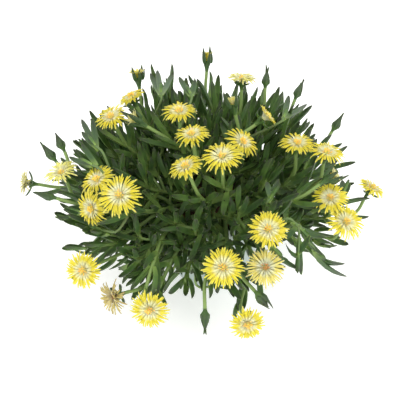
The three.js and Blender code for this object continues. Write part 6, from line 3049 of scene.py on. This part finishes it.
    def dress(self, tip: Tip) -> None:
        """Build the piece of one bloom.

        Args:
            tip: the growing point that it stands on.
        """
        spot, is_open = tip.spot, tip.kind is Kind.BLOOM
        wear = self.WEAR[spot.age]
        radius = spot.diameter / 2 if is_open else self.tuft_radius
        hub = self.hub if is_open else self.tuft_hub
        grown = self.tree.grow(self.receptacle(hub), {
            "Forms": self.forms,
            "Petals": self.petals if is_open else self.tuft_petals,
            "Petal Length": (radius - hub if is_open else spot.diameter) * wear.stretch * METRES,
            "Petal Width": self.petal_width * METRES,
            "Hub": hub * METRES,
            "Cup": math.radians(spot.cup) - self.sinking + wear.closing * is_open,
            "Opening": self.opening if is_open else self.tuft_opening,
            "Looseness": wear.looseness,
            "Filaments": self.filaments if is_open else 0,
            "Disc": (radius * self.disc - self.disc_hub) * METRES,
            "Stamens": self.stamens if is_open else self.tuft_stamens,
            "Stamen Length": wear.tuft * METRES,
            "Seed": SEED + self.TIP_SEED * tip.index + self.OPEN_SEED * is_open,
            "Petal Skin": self.skins[wear.petals.name],
            "Heart Skin": self.skins[wear.heart.name],
        })  # fmt: skip
        spans = [math.hypot(vertex.co.x, vertex.co.y) for vertex in grown.vertices]
        set_numbers(grown, reach=np.array(spans) / (radius * METRES))
        frame = frame_about(tip.place, tip.direction, RIGHT)
        rows = np.stack([frame.east, frame.north, frame.axis, tip.place * METRES], axis=1)
        grown.transform(Matrix(rows.tolist()).to_4x4())
        node = f"{tip.kind.value}_{tip.index + 1:02d}"
        add_piece(f"petals_{node}", grown, node)

    @staticmethod
    def receptacle(hub: float) -> bpy.types.Mesh:
        """Give the low dome on which petals and stamens stand."""
        profile = ((hub * 0.8, -1.2), (hub + 0.3, -0.2), (hub * 0.8, 0.2), (hub * 0.4, 0.5))
        rings = tuple((*place, 0.0) for place in profile)
        return TurnedForm(rings, sides=12, ridge=0.0, tip=(0.6, 0.0)).mesh("receptacle")


@dataclass
class Pot:
    """The pot and the potting mix in it.

    swell and crumbs are how far the mix rises and falls in waves and from crumb to crumb. Chips
    lie where the mix looks up by at least the share level, and chip_sizes, chip_tilt, chip_turn
    and chip_wobble are how much they vary.
    """

    size: PotSize = POT
    sides: int = 120
    wall_heights: Place = (30.0, 56.0)
    drill_sides: int = 24
    soil_sides: int = 96
    soil_rings: int = 26
    swell: float = 0.7
    crumbs: float = 0.5
    chips: int = 420
    level: float = 0.4
    chip_sizes: Place = (0.5, 1.15)
    chip_tilt: float = 0.5
    chip_turn: float = 3.1
    chip_wobble: float = 0.35
    plastic: PotFinish = field(default_factory=PotFinish)
    mix: SoilFinish = field(default_factory=SoilFinish)

    CHIPS = ((5.5, 2.6, 1.4), (3.6, 2.4, 1.8), (7.5, 1.6, 1.0))
    WAVES = (0.9, 1.3, 0.7, 1.1)

    def dress_pot(self) -> None:
        """Build the pot with its rolled rim and drain holes."""
        size = self.size
        foot, under, rim = size.foot_radius, size.under_band, size.rim_radius
        inner, band = rim - size.wall, size.band_foot
        outside = [
            (float(size.outside(np.array(height))), height)
            for height in (size.foot_height, *self.wall_heights)
        ]
        profile = [
            (foot - 7, 1.2), (foot - 5, 0), (foot - 1.6, 0), (foot - 0.4, 0.5), *outside,
            (under - 0.1, band - 0.3), (under + 0.3, band), (rim - 0.4, band + 0.5), (rim, band + 1.2),
            (rim, size.height - 1.6), (rim - 0.25, size.height - 0.6), (rim - 0.8, size.height),
            (inner + 0.5, size.height - 0.15), (inner, size.height - 0.8), (inner, band + 2.4),
            (under - size.wall, band), (foot - size.wall + 0.6, size.floor + 1.2),
            (foot - size.wall - 1, size.floor),
        ]  # fmt: skip
        shell = TurnedForm(tuple((*place, 0.0) for place in profile), self.sides, 0.0).mesh("pot_shell")
        pot = self.drain_tree().grow(shell, {
            "Holes": size.drains, "Ring": size.drain_ring * METRES, "Radius": size.drain_radius * METRES,
            "Pot Skin": self.plastic.material(),
        })  # fmt: skip
        add_piece("formed_pot", pot, "pot")

    def drain_tree(self) -> GrowthTree:
        """Build the tree that cuts a ring of drain holes through the pot's floor.

        Returns:
            The tree.
        """
        tree = GrowthTree("drain_holes", {
            "Geometry": "Geometry", "Holes": 6, "Ring": 0.028, "Radius": 0.005, "Depth": 0.02,
            "Pot Skin": "Material",
        })  # fmt: skip
        given, add = tree.given, tree.add
        ring = add("GeometryNodeMeshCircle", {"Vertices": given["Holes"], "Radius": given["Ring"]})
        bit = {"Vertices": self.drill_sides, "Radius": given["Radius"], "Depth": given["Depth"]}
        drill = add("GeometryNodeMeshCylinder", bit)
        drills = add("GeometryNodeInstanceOnPoints", {"Points": ring, "Instance": drill})
        real = add("GeometryNodeRealizeInstances", {"Geometry": drills})
        bodies = {"Mesh 1": given["Geometry"], "Mesh 2": real}
        drilled = add("GeometryNodeMeshBoolean", bodies, operation="DIFFERENCE", solver="EXACT")
        tree.end([drilled], {"Pot Skin": True})
        return tree

    def dress_soil(self) -> None:
        """Build the potting mix: an uneven top with bark chips."""
        size = self.size
        inside = size.under_band - size.wall - size.gap
        foot = size.foot_radius - size.wall - size.gap
        reaches = np.linspace(inside, 0.0, self.soil_rings)
        top = [(reach, float(size.soil_top(reach)), 0.0) for reach in reaches]
        low = [(foot - 1, size.floor + size.gap, 0.0), (inside - 0.1, size.band_foot, 0.0)]
        form = TurnedForm((*low, *top[:-1]), self.soil_sides, 0.0, tip=(top[-1][1], 0.0))
        mesh = form.mesh("mix_body")
        across, bend, curve, along = self.WAVES
        for number, vertex in enumerate(mesh.vertices):
            x, y, z = vertex.co / METRES
            if z > size.band_foot + 1:
                wave = math.sin(across * x + bend * math.sin(curve * y)) * math.cos(along * y)
                crumb = self.crumbs * sway(number, Chance.CRUMB)
                vertex.co.z += (self.swell * wave + crumb) * METRES
        grown = self.chip_tree().grow(mesh, {
            "Chips": self.chips / (math.pi * (inside * METRES) ** 2),
            "Forms": gather_forms("chip_form", self.chip_meshes()), "Mix Skin": self.mix.material(),
        })  # fmt: skip
        add_piece("potting_mix", grown, "soil")

    def chip_meshes(self) -> list[bpy.types.Mesh]:
        """Build the forms of bark chips, a few mm across.

        Returns:
            The meshes.
        """
        ends = np.array([[x, y, z] for x in (-1, 1) for y in (-1, 1) for z in (-1, 1)], float)
        faces = [
            (0, 1, 3, 2), (4, 6, 7, 5), (0, 4, 5, 1), (2, 3, 7, 6), (0, 2, 6, 4), (1, 5, 7, 3),
        ]  # fmt: skip
        forms = []
        for number, size in enumerate(self.CHIPS):
            wobble = [[sway(number, corner, way) for way in range(3)] for corner in range(len(ends))]
            corners = ends + np.array(wobble) * self.chip_wobble
            forms.append(make_mesh(f"chip_{number}", corners * np.array(size) / 2, faces))
        return forms

    def chip_tree(self) -> GrowthTree:
        """Build the tree that strews chips over the top of the mix.

        Returns:
            The tree.
        """
        tree = GrowthTree("bark_chips", {
            "Geometry": "Geometry", "Chips": 40000.0, "Forms": "Collection", "Seed": SEED,
            "Mix Skin": "Material",
        })  # fmt: skip
        given, add = tree.given, tree.add
        upward = add("ShaderNodeSeparateXYZ", {0: add("GeometryNodeInputNormal")}, "Z")
        least = {0: upward, 1: self.level}
        on_top = add("FunctionNodeCompare", least, operation="GREATER_THAN")
        strewing = {
            "Mesh": given["Geometry"], "Selection": on_top, "Density": given["Chips"],
            "Seed": given["Seed"],
        }  # fmt: skip
        strewn = add("GeometryNodeDistributePointsOnFaces", strewing)
        tilt, round_it = self.chip_tilt, self.chip_turn
        turning = {0: (-tilt, -tilt, -round_it), 1: (tilt, tilt, round_it), "Seed": given["Seed"]}
        turn = add("FunctionNodeRandomValue", turning, data_type="FLOAT_VECTOR")
        sizes = {2: self.chip_sizes[0], 3: self.chip_sizes[1], "Seed": given["Seed"]}
        size = add("FunctionNodeRandomValue", sizes, 1)
        choice = {4: 0, 5: len(self.CHIPS) - 1, "Seed": given["Seed"]}
        form = add("FunctionNodeRandomValue", choice, 2, data_type="INT")
        tone = add("FunctionNodeRandomValue", {2: 0.0, 3: 1.0, "Seed": given["Seed"]}, 1)
        shade = {"Geometry": strewn, "Name": "shade", "Value": tone}
        toned = add("GeometryNodeStoreNamedAttribute", shade)
        chips = tree.set_forms(toned, form, turn, size)
        tree.end([given["Geometry"], chips], {"Mix Skin": True})
        return tree


@dataclass
class Studio:
    """The camera at the photograph's angle, the floor and the soft lights.

    lens and sensor are in mm, and floor_side in metres. Each light has its name, its place and
    the length of its side in metres, and its power in watts. LIT is what they look at.
    """

    lens: float = 72.0
    sensor: float = 36.0
    floor_side: float = 12.0
    sky: float = 1.05

    LIGHTS = (("key", (0.9, -1.1, 1.9), 1.2, 22.0), ("fill", (-1.3, -0.7, 1.3), 1.4, 10.0))
    LIT = (0.0, 0.0, 0.1)

    def build(self) -> None:
        """Set up the camera, the floor, the lights and the sky."""
        data = bpy.data.cameras.new("camera")
        data.lens, data.sensor_width = self.lens, self.sensor
        camera = self.put("camera", data)
        camera.location = (VIEW.eye * METRES).tolist()
        camera.rotation_euler = (math.pi / 2 - VIEW.elevation, 0.0, 0.0)
        bpy.context.scene.camera = camera
        half = self.floor_side / METRES / 2
        corners = np.array([(-1, -1, 0), (1, -1, 0), (1, 1, 0), (-1, 1, 0)]) * half
        mesh = make_mesh("floor", corners, [(0, 1, 2, 3)])
        mesh.materials.append(FloorFinish().material())
        self.put("floor", mesh)
        for light in self.LIGHTS:
            self.hang_light(*light)
        world = bpy.data.worlds.new("studio")
        bpy.context.scene.world = world
        world.use_nodes = True
        background = world.node_tree.nodes["Background"]
        background.inputs["Color"].default_value = linear("#FFFFFF")
        background.inputs["Strength"].default_value = self.sky
        bpy.context.scene.view_settings.view_transform = "Standard"

    @staticmethod
    def put(name: str, data: bpy.types.ID) -> bpy.types.Object:
        """Put an object in the scene.

        Args:
            name: its name.
            data: its camera, light or mesh.

        Returns:
            The object.
        """
        thing = bpy.data.objects.new(name, data)
        bpy.context.scene.collection.objects.link(thing)
        return thing

    def hang_light(
        self, name: str, place: tuple[float, float, float], side: float, watts: float
    ) -> None:
        """Hang a soft square light that looks at the plant.

        Args:
            name: the light's name.
            place: where it hangs, in metres.
            side: the length of its side, in metres.
            watts: its power.
        """
        data = bpy.data.lights.new(name, "AREA")
        data.shape, data.size, data.energy = "SQUARE", side, watts
        light = self.put(name, data)
        light.location = place
        look = Vector(self.LIT) - Vector(place)
        light.rotation_euler = look.to_track_quat("-Z", "Y").to_euler()


def write_sizes() -> None:
    """Bring the scene up to date.
    """
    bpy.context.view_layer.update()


def main() -> None:
    """Build the studio and every piece of the plant."""
    logging.basicConfig(level=logging.INFO, format="%(message)s")
    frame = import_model()
    log.info("frame of %d nodes", len(frame["nodes"]))
    Studio().build()
    layout = Layout()
    branches = layout.grow()
    Thicket(layout).grow(branches)
    stems = [stem for branch in branches for stem in branch.stems]
    log.info("%d stems and %d leaves", len(stems), sum(len(stem.leaves) for stem in stems))
    pot = Pot()
    pot.dress_pot()
    pot.dress_soil()
    foliage = Foliage()
    for branch in branches:
        foliage.dress(branch)
    blooms = Blooms()
    for tip in layout.growing_points():
        if tip.kind in (Kind.BLOOM, Kind.TUFT):
            blooms.dress(tip)
    write_sizes()


if __name__ == "__main__":
    main()
